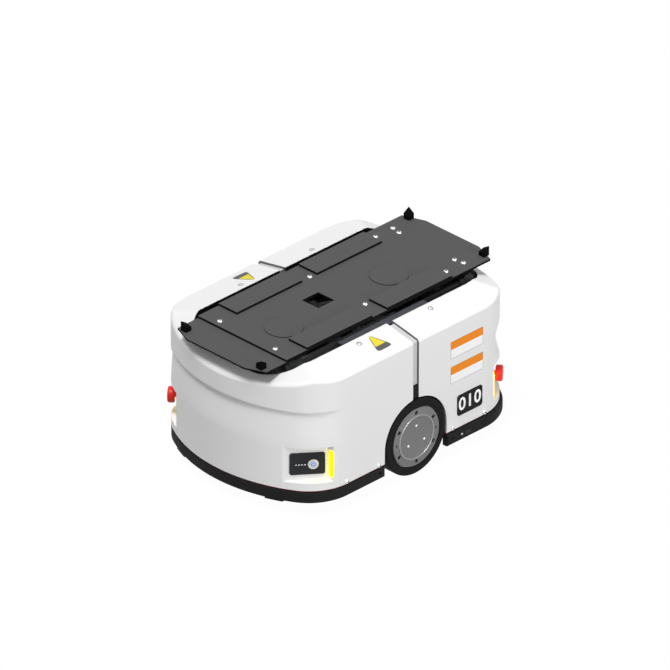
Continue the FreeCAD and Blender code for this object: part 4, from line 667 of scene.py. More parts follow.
def scoop_depth(column, corner_depth, end_depth):
    """Depth of the hollow in the wall: none at the side, growing round the corner to the middle."""
    _point, _out, kind, turn = column
    if kind == "side":
        return 0.0
    if kind == "corner":
        return corner_depth * soft_step(turn / radians(42))
    return corner_depth + (end_depth - corner_depth) * soft_step(1 - turn / NOSE_SWEEP)


def shell_column(column, scoop, corner_depth, end_depth):
    """Points of one upright section of the cover from its foot over the rim to the opening's edge."""
    point, out, _kind, _turn = column
    depth = scoop_depth(column, corner_depth, end_depth)
    points = [(point, height) for height in (SHELL_FOOT, RECESS_FLOOR, RECESS_ROOF)]
    points += [(point - out * depth * share, height) for height, share in scoop]
    for k in range(7):
        inset = RIM * (1 - cos(pi / 2 * k / 6))
        at = point - out * inset
        points.append((at, rounded_top(top_height(*at), RIM, inset)))
    rim = point - out * RIM
    edge = opening_point(column, outline_run(column))
    inward = (rim - edge).normalized()
    ledge = edge + inward * LEDGE
    for k in range(1, 16):
        at = rim.lerp(ledge, k / 15)
        points.append((at, top_height(*at)))
    for k in range(1, 5):
        inset = LEDGE * (1 - sin(pi / 2 * k / 4))
        at = edge + inward * inset
        points.append((at, rounded_top(top_height(*at), LEDGE, inset)))
    points.append((edge, top_height(*edge) - LIP_HEIGHT))
    return [Vector((at.x, at.y, height)) for at, height in points]


WALL_TOP_ROW = 3 + len(FRONT_SCOOP)


def shell_sheet(scoop, corner_depth, end_depth):
    """Outer skin of the front cover as points and faces."""
    half = outline(-SEAM_HALF)
    points, grid, faces = [], [], []
    for mirror, columns in ((1, half), (-1, reversed(half[:-1]))):
        for column in columns:
            row = shell_column(column, scoop, corner_depth, end_depth)
            grid.append(range(len(points), len(points) + len(row)))
            points += [Vector((place.x * mirror, place.y, place.z)) for place in row]

    def find(kind, turn):
        return next(k for k, c in enumerate(half) if c[2] == kind and abs(c[3] - turn) < 1e-9)

    side_end = next(k for k, c in enumerate(half) if c[2] == "corner")
    near, far = find("corner", RECESS_SIDE_TURN), find("nose", RECESS_NOSE_TURN)
    last = len(grid) - 1
    recesses = ((1, near, far), (-1, last - far, last - near))
    for k in range(last):
        side_wall = k < side_end or k >= last - side_end
        for j in range(WALL_TOP_ROW - 1 if side_wall else 0, len(grid[0]) - 1):
            if j != 1 or not any(a <= k < b for _side, a, b in recesses):
                faces.append((grid[k][j], grid[k + 1][j], grid[k + 1][j + 1], grid[k][j + 1]))
    start, steps = asin(SEAM_HALF / ARCH_RADIUS), 30
    turns = [start + (pi / 2 - start) * k / steps for k in range(steps, -1, -1)]
    arch = [(-ARCH_RADIUS, SHELL_FOOT)]
    arch += [(-ARCH_RADIUS * sin(turn), WHEEL_RADIUS + ARCH_RADIUS * cos(turn)) for turn in turns]
    for side in (1, -1):
        order = range(side_end + 1) if side > 0 else range(last, last - side_end - 1, -1)
        loop = [grid[k][WALL_TOP_ROW - 1] for k in order]
        loop += [grid[order[-1]][j] for j in range(WALL_TOP_ROW - 2, -1, -1)]
        loop += range(len(points), len(points) + len(arch))
        points += [Vector((side * HALF_WIDTH, y, z)) for y, z in arch]
        faces.append(tuple(loop))
    for side, a, b in recesses:
        inner = len(points)
        points += [Vector((side * RECESS_IN.x, RECESS_IN.y, level)) for level in (RECESS_FLOOR, RECESS_ROOF)]
        faces += [(*(grid[k][j] for k in range(a, b + 1)), inner + j - 1) for j in (1, 2)]
        faces += [(grid[k][1], grid[k][2], inner + 1, inner) for k in (a, b)]
    return points, faces


def seam_lips(material):
    """The strips under the seam between the cover halves, one on each side."""
    made = []
    for side in (1, -1):
        closed = []
        for sunk, order in ((SEAM_DEPTH, 1), (SEAM_DEPTH + 3 * MM, -1)):
            line = [(HALF_WIDTH - sunk, 2 * WHEEL_RADIUS + 3.6 * MM)]
            for k in range(5):
                inset = 2.5 * MM * (1 - cos(pi / 2 * k / 4))
                x = HALF_WIDTH - sunk - inset
                line.append((x, rounded_top(top_height(x, 0) - sunk, 2.5 * MM, inset)))
            inner = OPENING_X + sunk
            height = top_height(inner, 0)
            line += [(inner + 1 * MM, height - sunk), (inner, height - sunk - 1 * MM),
                     (inner, height - 19 * MM)]
            closed += line[::order]
        near, far = ([(side * x, y, z) for x, z in closed] for y in (-SEAM_HALF - 2 * MM, LIP_END))
        made.append(prism("seam_lip", near, far, material))
    return made


def cover_shell(name, node, rear):
    """One half of the cover with its wall thickness and rounded edges."""
    shape = (REAR_SCOOP, 8.4 * MM, 9 * MM) if rear else (FRONT_SCOOP, 4.4 * MM, 8 * MM)
    shell = outward(add_mesh(name + "_skin", *shell_sheet(*shape), finish("cover_white")))
    if sum(face.normal.z * face.area for face in shell.data.polygons) < 0:
        shell.data.flip_normals()
    wall = shell.modifiers.new("wall", "SOLIDIFY")
    wall.thickness = SHELL_WALL
    wall.offset = -1
    wall.use_even_offset = True
    wall.thickness_clamp = 0
    bake_modifiers(shell)
    bevel(shell, settings().cover_rounding, 3, 50)
    # the seam's floor strips take a grey finish: painted shade in the groove
    shell = joined(name, [shell] + ([] if rear else seam_lips(finish("seam_floor_painted_shade"))))
    shell.data.materials.append(finish("seam_step_painted_shade"))
    shell.data.materials.append(finish("opening_painted_shade"))
    black = len(shell.data.materials) - 1
    for face in shell.data.polygons:
        at = face.center
        # lip faces by the opening that look inwards take the black finish: painted shade in the gap
        by_opening = abs(at.x) < OPENING_X + 0.8 * MM and abs(at.y) < OPENING_Y
        if by_opening and at.z > top_height(at.x, at.y) - 30 * MM and face.normal.x * at.x < -0.5 * abs(at.x):
            face.material_index = black
        # the rear cover's step face at the seam takes the dark grey finish: painted shade
        if rear and face.normal.y > 0.5 and at.y > -SEAM_HALF - 1 * MM and at.z > 2 * WHEEL_RADIUS:
            face.material_index = black - 1
    smooth(end_turn(shell, rear), 42, True)
    attach(shell, "chassis", "cover_white", node)


# --- bumpers and seals ----------------------------------------------------------------------------


def sweep(name, section, rear, material):
    """Sweeps a closed section of (outwards, height) round the end of the body."""
    columns = [(point, out) for point, out, _kind, _turn in outline(BUMPER_START)]
    columns += [(Vector((-p.x, p.y)), Vector((-o.x, o.y))) for p, o in reversed(columns[:-1])]
    points, count = [], len(section(1.0))
    for point, out in columns:
        points += [(*(point + out * outwards), height) for outwards, height in section(abs(out.y))]
    faces = tube_faces(len(columns), count)
    faces += [tuple(range(count)), tuple(range(len(points) - 1, len(points) - count - 1, -1))]
    return end_turn(outward(add_mesh(name, points, faces, material)), rear)


def bumper_section(overhang, end_overhang, rounding, low, high=54 * MM, depth=12 * MM):
    """Section of a bumper, which stands out end_overhang more where it faces straight ahead."""
    def section(share):
        middle = overhang + end_overhang * share - rounding
        lower = arc_profile(middle, low + rounding, rounding, -90, 0)
        upper = arc_profile(middle, high - rounding, rounding, 0, 90)
        return [(-depth, low), *lower, *upper, (-depth, high)]

    return section


def seal_section(_share):
    """Section of the seal between bumper and cover."""
    return mm((-10.5, 54), (-2.6, 54), (-2, 54.6), (-2, 56.4), (-2.6, 57), (-10.5, 57))


def bumper_foot(side, material):
    """A small foot under the front bumper, along its curve."""
    front = [(side * x, END_CENTRE - sqrt(END_RADIUS**2 - x**2) + 1 * MM)
             for x in ((114 + 6 * k) * MM for k in range(7))]
    back = [(x, y + 10 * MM) for x, y in reversed(front)]
    return slab("foot", front + back, 25.5 * MM, 28.5 * MM, Matrix(), material, 0.5 * MM)


def bumpers():
    """The two bumpers and the seals over them."""
    black = finish("bumper_black")
    sections = (("front", False, bumper_section(0, 0, 3 * MM, 28 * MM)),
                ("rear", True, bumper_section(4 * MM, 4 * MM, 7 * MM, 25 * MM)))
    for end, rear, section in sections:
        name = end + "_bumper"
        body = sweep(name + "_body", section, rear, black)
        for side in (1, -1):
            y = (1 if rear else -1) * 101.2 * MM
            cut_hole(body, side, 3 * MM, 218 * MM, 240 * MM, y, 41 * MM, black)
        bevel(body, 0.6 * MM, 2, 60)
        feet = [] if rear else [bumper_foot(side, black) for side in (1, -1)]
        attach(smooth(joined(name, [body, *feet]), 38), "chassis", "bumper_black", name)
        seal = sweep(end + "_seal_strip", seal_section, rear, finish("seal_red"))
        attach(smooth(seal, 50), "chassis", "seal_red", end + "_seal")


def side_fittings():
    """Round fitting with a light tip and a small cover beside it, on the rear bumper's sides."""
    for side, label in SIDES:
        at = Matrix.Translation((side * 231.6 * MM, 127 * MM, 41 * MM))
        place = at @ Matrix.Rotation(side * pi / 2, 4, "Y")
        profile = mm((2.3, 1.2), (3.2, 1.6), (4.6, 1.6), (5, 1.2), (5, 0), (2.3, 0), (2.3, 1.2))
        ring = lathe("fitting_ring", profile, place, finish("motor_black"), 32)
        profile = [(AXIS, 1.9 * MM), *mm((1.6, 1.6), (2.1, 1.0), (2.1, 0))]
        tip = lathe("fitting_tip", profile, place, finish("mark_white"), 24)
        place = Matrix.Translation((side * 232.2 * MM, 145 * MM, 40 * MM)) @ side_turn(side)
        pad = slab("fitting_pad", rounded_rectangle(16 * MM, 8 * MM, 1.2 * MM), 0, 0.6 * MM, place,
                   finish("panel_black"), 0.2 * MM)
        attach(joined("side_fitting_" + label, [ring, tip, pad]), "chassis", "motor_black")


# --- repeated screws ------------------------------------------------------------------------------


def repeat_tree():
    """Puts one part on every point, turned to face along the point's direction."""
    if "repeat_on_points" in bpy.data.node_groups:
        return bpy.data.node_groups["repeat_on_points"]
    group = bpy.data.node_groups.new("repeat_on_points", "GeometryNodeTree")
    face = group.interface
    face.new_socket("Geometry", in_out="INPUT", socket_type="NodeSocketGeometry")
    face.new_socket("Part", in_out="INPUT", socket_type="NodeSocketObject")
    face.new_socket("Size", in_out="INPUT", socket_type="NodeSocketFloat").default_value = 1.0
    face.new_socket("Seed", in_out="INPUT", socket_type="NodeSocketInt").default_value = 1
    face.new_socket("Head Finish", in_out="INPUT", socket_type="NodeSocketMaterial")
    face.new_socket("Socket Finish", in_out="INPUT", socket_type="NodeSocketMaterial")
    face.new_socket("Geometry", in_out="OUTPUT", socket_type="NodeSocketGeometry")
    tree = Tree(group)
    start, end = tree.node("NodeGroupInput"), tree.node("NodeGroupOutput")
    facing = tree.node("GeometryNodeInputNamedAttribute", data_type="FLOAT_VECTOR")
    facing.inputs["Name"].default_value = "facing"
    turned = tree.node("FunctionNodeAlignRotationToVector", axis="Z")
    tree.link(facing.outputs["Attribute"], turned.inputs["Vector"])
    chance = tree.node("FunctionNodeRandomValue", data_type="FLOAT")
    chance.inputs[3].default_value = tau
    tree.link(start.outputs["Seed"], chance.inputs["Seed"])
    axis = tree.node("FunctionNodeAxisAngleToRotation")
    axis.inputs["Axis"].default_value = (0, 0, 1)
    tree.link(chance.outputs[1], axis.inputs["Angle"])
    spun = tree.node("FunctionNodeRotateRotation", rotation_space="LOCAL")
    tree.link(turned.outputs["Rotation"], spun.inputs["Rotation"])
    tree.link(axis.outputs["Rotation"], spun.inputs["Rotate By"])
    part = tree.node("GeometryNodeObjectInfo", transform_space="ORIGINAL")
    tree.link(start.outputs["Part"], part.inputs["Object"])
    placed = tree.node("GeometryNodeInstanceOnPoints")
    tree.link(start.outputs["Geometry"], placed.inputs["Points"])
    tree.link(part.outputs["Geometry"], placed.inputs["Instance"])
    tree.link(spun.outputs["Rotation"], placed.inputs["Rotation"])
    tree.link(start.outputs["Size"], placed.inputs["Scale"])
    real = tree.node("GeometryNodeRealizeInstances")
    tree.link(placed.outputs["Instances"], real.inputs["Geometry"])
    head = tree.node("GeometryNodeSetMaterial")
    tree.link(real.outputs["Geometry"], head.inputs["Geometry"])
    tree.link(start.outputs["Head Finish"], head.inputs["Material"])
    # faces flagged in_socket take the socket finish: painted shade in the socket
    inside = tree.node("GeometryNodeInputNamedAttribute", data_type="BOOLEAN")
    inside.inputs["Name"].default_value = "in_socket"
    painted_shade = tree.node("GeometryNodeSetMaterial")
    tree.link(head.outputs["Geometry"], painted_shade.inputs["Geometry"])
    tree.link(inside.outputs["Attribute"], painted_shade.inputs["Selection"])
    tree.link(start.outputs["Socket Finish"], painted_shade.inputs["Material"])
    tree.link(painted_shade.outputs["Geometry"], end.inputs["Geometry"])
    return group


def button_screw(head=5.5 * MM, rise=3.3 * MM, socket=2 * MM):
    """A button head screw's head with a six-sided socket, pointing up from its seat."""
    steps = 18
    turns = [tau * k / steps for k in range(steps)]
    rings = [(head, 0), (head * 0.995, rise * 0.22), (head * 0.9, rise * 0.58), (head * 0.68, rise * 0.88),
             (head * 0.5, rise)]
    points = [(radius * cos(turn), radius * sin(turn), height) for radius, height in rings for turn in turns]
    for height in (rise, rise * 0.35):
        for turn in turns:
            flat = socket / cos((turn % (pi / 3)) - pi / 6)
            points.append((flat * cos(turn), flat * sin(turn), height))
    faces = tube_faces(len(rings) + 2, steps)
    in_socket = len(faces) - steps
    faces.append(tuple(range(len(points) - steps, len(points))))
    obj = add_mesh("button_screw", points, faces)
    # socket walls and floor are flagged for the painted shade finish
    flag = obj.data.attributes.new("in_socket", "BOOLEAN", "FACE")
    for k in range(in_socket, len(faces)):
        flag.data[k].value = True
    return smooth(obj, 40)


def repeat(name, part, places, size, seed, head, socket):
    """Bakes a part onto every (point, facing) place into one plain mesh."""
    obj = add_mesh(name, [place for place, _facing in places], [])
    facing = obj.data.attributes.new("facing", "FLOAT_VECTOR", "POINT")
    for k, (_place, direction) in enumerate(places):
        facing.data[k].vector = direction
    tree = repeat_tree()
    made = obj.modifiers.new("repeat", "NODES")
    made.node_group = tree
    values = {"Part": part, "Size": size, "Seed": seed, "Head Finish": head, "Socket Finish": socket}
    for item in tree.interface.items_tree:
        if item.in_out == "INPUT" and item.name in values:
            made[item.identifier] = values[item.name]
    obj.update_tag()
    bake_modifiers(obj)
    for label in ("facing", "in_socket"):
        if label in obj.data.attributes:
            obj.data.attributes.remove(obj.data.attributes[label])
    return obj


def screws():
    """Screws on the platform, the covers and the hub covers."""
    seed = settings().seed
    part = button_screw()
    steel, painted_shade = finish("screw_steel"), finish("socket_painted_shade")
    places = [(Vector((side * x * MM, y * MM, PLATE_TOP)), Vector((0, 0, 1))) for side in (1, -1)
              for x, y in ((78.6, -249), (78.6, 5.4), (78.6, 260), (100, 214), (100, 264))]
    attach(repeat("platform_screws", part, places, 1.0, seed, steel, painted_shade), "platform", "screw_steel",
           "plate_screws")
    places = [(Vector((side * HALF_WIDTH, end * y * MM, 62 * MM)), Vector((side, 0, 0)))
              for side in (1, -1) for y in (105, 196) for end in (1, -1)]
    low = repeat("side_screws", part, places, 1.0, seed + 1, steel, painted_shade)
    slope = Vector((FLANK_FALL / FLANK_WIDTH, 0, 1)).normalized()
    x, sunk = HALF_WIDTH - 60 * MM, 2.2 * MM
    seat = top_height(x, 0) - sunk
    places = [(Vector((side * x, end * 101 * MM, seat)), Vector((side * slope.x, 0, slope.z)))
              for side in (1, -1) for end in (1, -1)]
    top = repeat("flank_screws", part, places, 0.82, seed + 2, steel, painted_shade)
    # dark rings round the sunk flank screws: painted shade in the gap round each head
    rings = [lathe("screw_seat", mm((4.2, 0), (4.4, 0.25), (5.6, 0.25), (5.8, 0)),
                   facing_place(seat + direction * sunk, direction), painted_shade, 32) for seat, direction in places]
    attach(joined("cover_screws", [low, top, *rings]), "chassis", "screw_steel", "shell_screws")
    circle = 26 * MM
    for side, label in SIDES:
        turns = [pi / 2 + k * tau / 3 for k in range(3)]
        places = [(Vector((side * 229.2 * MM, circle * cos(turn), WHEEL_RADIUS + circle * sin(turn))),
                   Vector((side, 0, 0))) for turn in turns]
        small = repeat("hub_screws_" + label, part, places, 0.55, seed + 3, steel, painted_shade)
        attach(small, "drive_" + label, "screw_steel")
    bpy.data.objects.remove(part)


# --- platform -------------------------------------------------------------------------------------


def platform():
    """The lifted platform: plates, pads, posts, rails and the two discs."""
    for name, node, width in (("platform_plate", "lift_plate", 0.45), ("platform_nose", "nose_plate", 0.45),
                              ("wear_pads", "load_pads", 0.5)):
        refined(name, node, "plate_grey", width * MM, painted_side_shade="plate_side_painted_shade")
    refined("corner_stops", "corner_posts", "post_black", 0.9 * MM, 3)
    refined("under_rails", "platform_rails", "frame_slate", 0.5 * MM)
    radius, rise, rim = 40 * MM, 2.2 * MM, 1.5 * MM
    profile = [(AXIS, rise)] + [(radius * k / 8, rise - (rise - rim) * (k / 8) ** 2) for k in range(1, 8)]
    profile += [(radius - 0.5 * MM, rim + 0.12 * MM), (radius - 0.12 * MM, rim - 0.05 * MM),
                (radius, rim - 0.4 * MM), (radius, 0)]
    discs = []
    for y in (-176 * MM, 122 * MM):
        place = Matrix.Translation((30 * MM, y, PLATE_TOP))
        disc = lathe("disc", profile, place, finish("plate_grey"), 128, 60)
        # the disc's rim side takes the plate's darker side finish: painted shade
        disc.data.materials.append(finish("plate_side_painted_shade"))
        for face in disc.data.polygons:
            face.material_index = 1 if abs(face.normal.z) < 0.6 else 0
        discs.append(disc)
    attach(joined("turning_discs", discs), "platform", "plate_grey", "bearing_discs")


# --- wheels ---------------------------------------------------------------------------------------


def wheel_place(side):
    """Place at a drive wheel's axle, with Z looking out of the body's side."""
    return Matrix.Translation((0, 0, WHEEL_RADIUS)) @ Matrix.Rotation(side * pi / 2, 4, "Y")


def tyre(side, label):
    """A solid tyre with rounded shoulders and a groove near its rim."""
    face, back, tread, bore, shoulder = 229 * MM, 189 * MM, 81 * MM, 66 * MM, 4 * MM
    profile = [(bore, back), (tread, back)]
    profile += arc_profile(tread, back + shoulder, shoulder, -90, 0)[1:]
    profile += arc_profile(tread, face - shoulder, shoulder, 0, 90)
    profile += [(71.5 * MM, face), (71 * MM, face - 0.5 * MM), (69.5 * MM, face - 0.5 * MM), (69 * MM, face),
                (66.6 * MM, face), (bore, face - 0.6 * MM), (bore, back)]
    made = lathe("drive_tyre_" + label, profile, wheel_place(side), finish("tyre_black"), 128, 25)
    attach(made, "drive_" + label, "tyre_black", "tyre_" + label)


def hub_cover(side, label):
    """The disc over a hub, with its ridge, six large and two small holes."""
    grey, seat, ridge_radius, hole_circle = finish("hub_grey"), 226 * MM, 48 * MM, 55.6 * MM
    outer = seat + 3.5 * MM
    turns = [pi * k / 12 for k in range(12, -1, -1)]
    ridge = [(ridge_radius + 1.5 * MM * cos(turn), outer + 1.9 * MM * sin(turn) ** 1.3)
             for turn in turns[1:-1]]
    profile = [(AXIS, outer), (12 * MM, outer), (ridge_radius - 1.5 * MM, outer), *ridge,
               (ridge_radius + 1.5 * MM, outer), (63.9 * MM, outer), (64.5 * MM, outer - 0.25 * MM),
               (64.7 * MM, outer - 0.8 * MM), (64.7 * MM, seat), (AXIS, seat)]
    cover = lathe("hub_disc_" + label, profile, wheel_place(side), grey, 128, 25)
    holes = [(radians(30 + 60 * k), 4.4 * MM) for k in range(6)] + [(0, 2.4 * MM), (pi, 2.4 * MM)]
    for turn, radius in holes:
        y, z = hole_circle * cos(turn), WHEEL_RADIUS + hole_circle * sin(turn)
        cut_hole(cover, side, radius, 220 * MM, 240 * MM, y, z, grey)
    cover.data.materials.clear()
    cover.data.materials.append(grey)
    cover.data.materials.append(finish("hub_ridge"))
    for face in cover.data.polygons:
        off_ridge = abs(hypot(face.center.y, face.center.z - WHEEL_RADIUS) - ridge_radius)
        face.material_index = 1 if abs(face.center.x) > outer + 0.7 * MM and off_ridge < 1.5 * MM else 0
    bevel(cover, 0.35 * MM, 2, 60)
    attach(smooth(cover, 30), "drive_" + label, "hub_grey", "hub_cover_" + label)


def drive_wheels():
    """Both drive wheels with their hubs, axles and drive units."""
    for side, label in SIDES:
        tyre(side, label)
        refined("drive_hub_" + label, "hub_" + label, "cast_alloy")
        hub_cover(side, label)
        refined("drive_axle_" + label, "axle_" + label, "bright_steel")
        refined("drive_unit_" + label, "gearmotor_" + label, "motor_black")


def casters():
    """Forks and rollers of the four casters."""
    for place in ("front_left", "front_right", "rear_left", "rear_right"):
        refined("fork_" + place, "caster_fork_" + place, "base_steel")
        refined("roller_" + place, "caster_wheel_" + place, "caster_grey")


# --- frame, lift and boxes ------------------------------------------------------------------------

# piece, frame node, slot and rounding in millimetres
PLAIN_PARTS = (
    ("undertray", "base_plate", "base_steel", 0.5),
    ("side_plate_left", "side_frame_left", "frame_slate", 0.6),
    ("side_plate_right", "side_frame_right", "frame_slate", 0.6),
    ("lift_table", "lift_deck", "frame_slate", 0.5),
    ("caster_plates", "caster_mounts", "base_steel", 0.0),
    ("power_pack", "battery_pack", "box_black", 1.0),
    ("control_case", "control_box", "fin_alloy", 0.5),
    ("marker_camera", "up_camera", "motor_black", 0.0),
    ("ground_camera", "floor_camera", "motor_black", 0.0),
    ("guide_bars", "guide_rods", "bright_steel", 0.0),
    ("guide_sleeves", "guide_bushes", "bronze", 0.0),
    ("front_crank", "front_lift_arm", "cast_alloy", 0.4),
    ("rear_crank", "rear_lift_arm", "cast_alloy", 0.4),
    ("front_crank_rollers", "front_lift_rollers", "bright_steel", 0.0),
    ("rear_crank_rollers", "rear_lift_rollers", "bright_steel", 0.0),
    ("crank_bearings", "shaft_bearings", "cast_alloy", 0.5),
    ("pull_bar", "lift_rod", "bright_steel", 0.4),
    ("actuator", "lift_actuator", "motor_black", 0.4),
    ("seam_fittings", "seam_blocks", "number_black", 0.8),
)


def inner_parts():
    """The parts under the covers and in the gap beside the platform."""
    for name, node, slot, rounding in PLAIN_PARTS:
        refined(name, node, slot, rounding * MM)


# --- controls in the corner recesses --------------------------------------------------------------


def back_wall():
    """Start, direction and outward direction of the back wall of the front right recess."""
    start = nose_point(RECESS_NOSE_TURN)[0]
    line = (RECESS_IN - start).normalized()
    out = Vector((line.y, -line.x))
    return start, line, out if out.dot(Vector((1, -1))) > 0 else -out


def back_plane(side, end, along, height):
    """Place on a recess's back wall: x along it from the nose side, y up, z outwards."""
    start, line, out = back_wall()
    at = start + line * along
    turn = Matrix(((line.x, 0, out.x, at.x), (line.y, 0, out.y, at.y), (0, 1, 0, height), (0, 0, 0, 1)))
    return Matrix.Diagonal((side, -end, 1, 1)) @ turn


def operating_panel():
    """The black panel with its marks and the power button in its ring."""
    plate = rounded_rectangle(72 * MM, 50 * MM, 5 * MM)
    place = back_plane(1, -1, 48.6 * MM, 112.8 * MM)
    pieces = [slab("panel", plate, 0, 2.5 * MM, place, finish("panel_black"), 0.8 * MM)]
    dash = rounded_rectangle(3.2 * MM, 1.8 * MM, 0.6 * MM)
    for step in range(4):
        place = back_plane(1, -1, (26 + 6 * step) * MM, 111 * MM)
        pieces.append(slab("mark", dash, 2.45 * MM, 2.75 * MM, place, finish("mark_white")))
    place = back_plane(1, -1, 60.3 * MM, 112 * MM)
    rings = (("button_steel", ((8.35, 1), (8.35, 4.7), (8.7, 5.1), (9.0, 5.1))),
             ("stop_grey", ((9.0, 5.1), (9.1, 5.16), (9.9, 5.16), (10.0, 5.1))),
             ("button_steel", ((10.0, 5.1), (10.6, 4.9), (11, 4.3), (11, 2.4), (8.35, 2.4))))
    pieces += [lathe("button_ring", mm(*profile), place, finish(material), 64) for material, profile in rings]
    attach(joined("operating_panel", pieces), "chassis", "panel_black", "control_panel")
    profile = [(AXIS, 4.75 * MM)]
    profile += mm((2.6, 4.75), (3.0, 4.8), (6.6, 4.8), (7.8, 4.6), (8.2, 4.2), (8.2, 2.0))
    face = lathe("button_face", profile, place, finish("button_steel"), 64)
    mark = lathe("button_mark", mm((2.9, 4.78), (2.9, 4.92), (4.4, 4.92), (4.4, 4.78)), place,
                 finish("mark_blue"), 48)
    attach(joined("power_key", [face, mark]), "power_push", "button_steel", "power_button")


def emergency_stops():
    """Collars glowing with painted light, and red caps in the front left and the rear right recess."""
    collar = mm((6, 5), (11.8, 5), (12.6, 4.6), (13, 3.8), (13, 1), (12.6, 0.3), (12.6, 0), (6, 0), (6, 5))
    cap = [(AXIS, 23.4 * MM)]
    cap += mm((6, 23.5), (9.5, 23.8), (12, 24), (14.4, 23.8), (15.9, 22.9), (16.7, 21.4), (16.9, 19.4),
              (16.9, 12.6), (16.5, 10.9), (15.4, 9.6), (13.8, 9.2), (8.4, 9.2), (5, 9.2), (5, 4.3))
    _start, _line, out = back_wall()
    for side, label in ((-1, "front"), (1, "rear")):
        facing = Vector((side * out.x, -side * out.y, 0)).normalized()
        low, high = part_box("stop_collar_" + label)
        place = facing_place((low + high) / 2 - facing * 2.5 * MM, facing)
        # the collar glows with painted light
        ring = lathe("stop_ring_" + label, collar, place, finish("stop_ring_painted_glow"), 64)
        attach(ring, "chassis", "stop_grey", "stop_collar_" + label)
        button = lathe("stop_button_" + label, cap, place, finish("stop_red"), 72, 40)
        attach(button, "stop_" + label, "stop_red", "stop_cap_" + label)


def controls():
    """The operating panel and the two emergency stops."""
    operating_panel()
    emergency_stops()


def lamps():
    """Lit strips on the lamp walls of the four recesses."""
    edge, out = Vector((1, RECESS_LEAN)).normalized(), Vector((RECESS_LEAN, -1)).normalized()
    at = RECESS_IN + edge * 9.4 * MM
    turn = Matrix(((edge.x, 0, out.x, at.x), (edge.y, 0, out.y, at.y), (0, 1, 0, 112.4 * MM), (0, 0, 0, 1)))
    strip = rounded_rectangle(8.8 * MM, 58 * MM, 2.2 * MM)
    made = []
    for side in (1, -1):
        for end, proud in ((1, 2.5 * MM), (-1, 0.9 * MM)):
            place = Matrix.Diagonal((side, end, 1, 1)) @ turn
            made.append(outward(slab("lamp", strip, -0.5 * MM, proud, place, lamp_finish(), 0.35 * MM)))
    attach(smooth(joined("recess_lamps", made), 40), "chassis", "lamp_yellow", "corner_lamps")


# --- labels ---------------------------------------------------------------------------------------


def side_patch(name, y0, y1, z0, z1, thick, material, radius):
    """A thin patch on the right side wall, in millimetres."""
    place = Matrix.Translation((HALF_WIDTH, (y0 + y1) / 2 * MM, (z0 + z1) / 2 * MM)) @ side_turn(1)
    shape = rounded_rectangle((y1 - y0) * MM, (z1 - z0) * MM, radius * MM)
    return slab(name, shape, -0.05 * MM, thick * MM, place, finish(material))


def side_labels():
    """Two blank labels with an orange band."""
    pieces = []
    for z0, z1 in ((224, 262), (166, 204)):
        pieces.append(side_patch("label_border", 99.0, 191.0, z0 - 0.6, z1 + 0.6, 0.08, "sticker_grey", 2.0))
        pieces.append(side_patch("label", 99.6, 190.4, z0, z1, 0.15, "mark_white", 1.6))
        pieces.append(side_patch("label_band", 99.6, 190.4, z1 - 17.8, z1, 0.22, "sticker_orange", 1.6))
    attach(joined("side_labels", pieces), "chassis", None)


def number_digits(place):
    """The digits of the number plate as a plain mesh."""
    curve = bpy.data.curves.new("digits", "FONT")
    curve.body = settings().digits
    curve.align_x, curve.align_y = "CENTER", "CENTER"
    curve.size = 40 * MM
    curve.offset = 0.9 * MM
    curve.extrude = 0.08 * MM
    curve.space_character = 1.1
    source = bpy.data.objects.new("digits", curve)
    bpy.context.scene.collection.objects.link(source)
    graph = bpy.context.evaluated_depsgraph_get()
    graph.update()
    mesh = bpy.data.meshes.new_from_object(source.evaluated_get(graph))
    bpy.data.objects.remove(source)
    mesh.materials.clear()
    mesh.transform(place)
    return link_mesh("digits", mesh, finish("mark_white"))


def number_sign():
    """The number plate and its digits."""
    low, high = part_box("number_plate")
    y, z = (low.y + high.y) / 2, (low.z + high.z) / 2
    board = slab("number_board", rounded_rectangle(72 * MM, 48 * MM, 7 * MM), 0, 1.2 * MM,
                 Matrix.Translation((HALF_WIDTH, y, z)) @ side_turn(1), finish("number_black"), 0.35 * MM)
    digits = number_digits(Matrix.Translation((HALF_WIDTH + 1.22 * MM, y, z)) @ side_turn(1))
    attach(joined("number_sign", [board, digits]), "chassis", "number_black", "number_plate")


def flank_stickers():
    """A blank three-cornered sticker on each flank: yellow field, grey edge and foot."""
    apex, base = Vector((156, -68)), (Vector((208, -45)), Vector((209, -89)))
    middle = (base[0] + base[1]) / 2
    field = [apex.lerp(middle, 0.09)]
    field += [apex.lerp(corner, 0.735).lerp(apex.lerp(middle, 0.735), 0.12) for corner in base]
    made = []
    for side in (1, -1):
        for shape, material, lift in ((rounded_corners([apex, *base], 7), "sticker_grey", 0.10),
                                      (rounded_corners(field, 1.5), "sticker_yellow", 0.16)):
            points = [(side * x * MM, y * MM, top_height(x * MM, 0) + lift * MM) for x, y in shape]
            made.append(add_mesh("flank_mark", points, [tuple(range(len(points)))], finish(material)))
            if made[-1].data.polygons[0].normal.z < 0:
                made[-1].data.flip_normals()
    attach(joined("flank_stickers", made), "chassis", None)


def labels():
    """Side labels, number plate and flank stickers."""
    side_labels()
    number_sign()
    flank_stickers()


# --- stage ----------------------------------------------------------------------------------------


def seen_directly(tree):
    """1 for what the camera, a mirror or glass sees."""
    path = tree.node("ShaderNodeLightPath")
    seen = tree.math("MAXIMUM", path.outputs["Is Camera Ray"], path.outputs["Is Glossy Ray"])
    return tree.math("MAXIMUM", seen, path.outputs["Is Transmission Ray"])


def mixed_surface(tree, share, first, second, out):
    """Mixes two shaders by a share and sends the result out."""
    mix = tree.node("ShaderNodeMixShader")
    for source, target in zip((share, first.outputs[0], second.outputs[0]), mix.inputs):
        tree.link(source, target)
    tree.link(mix.outputs[0], out.inputs["Surface"])


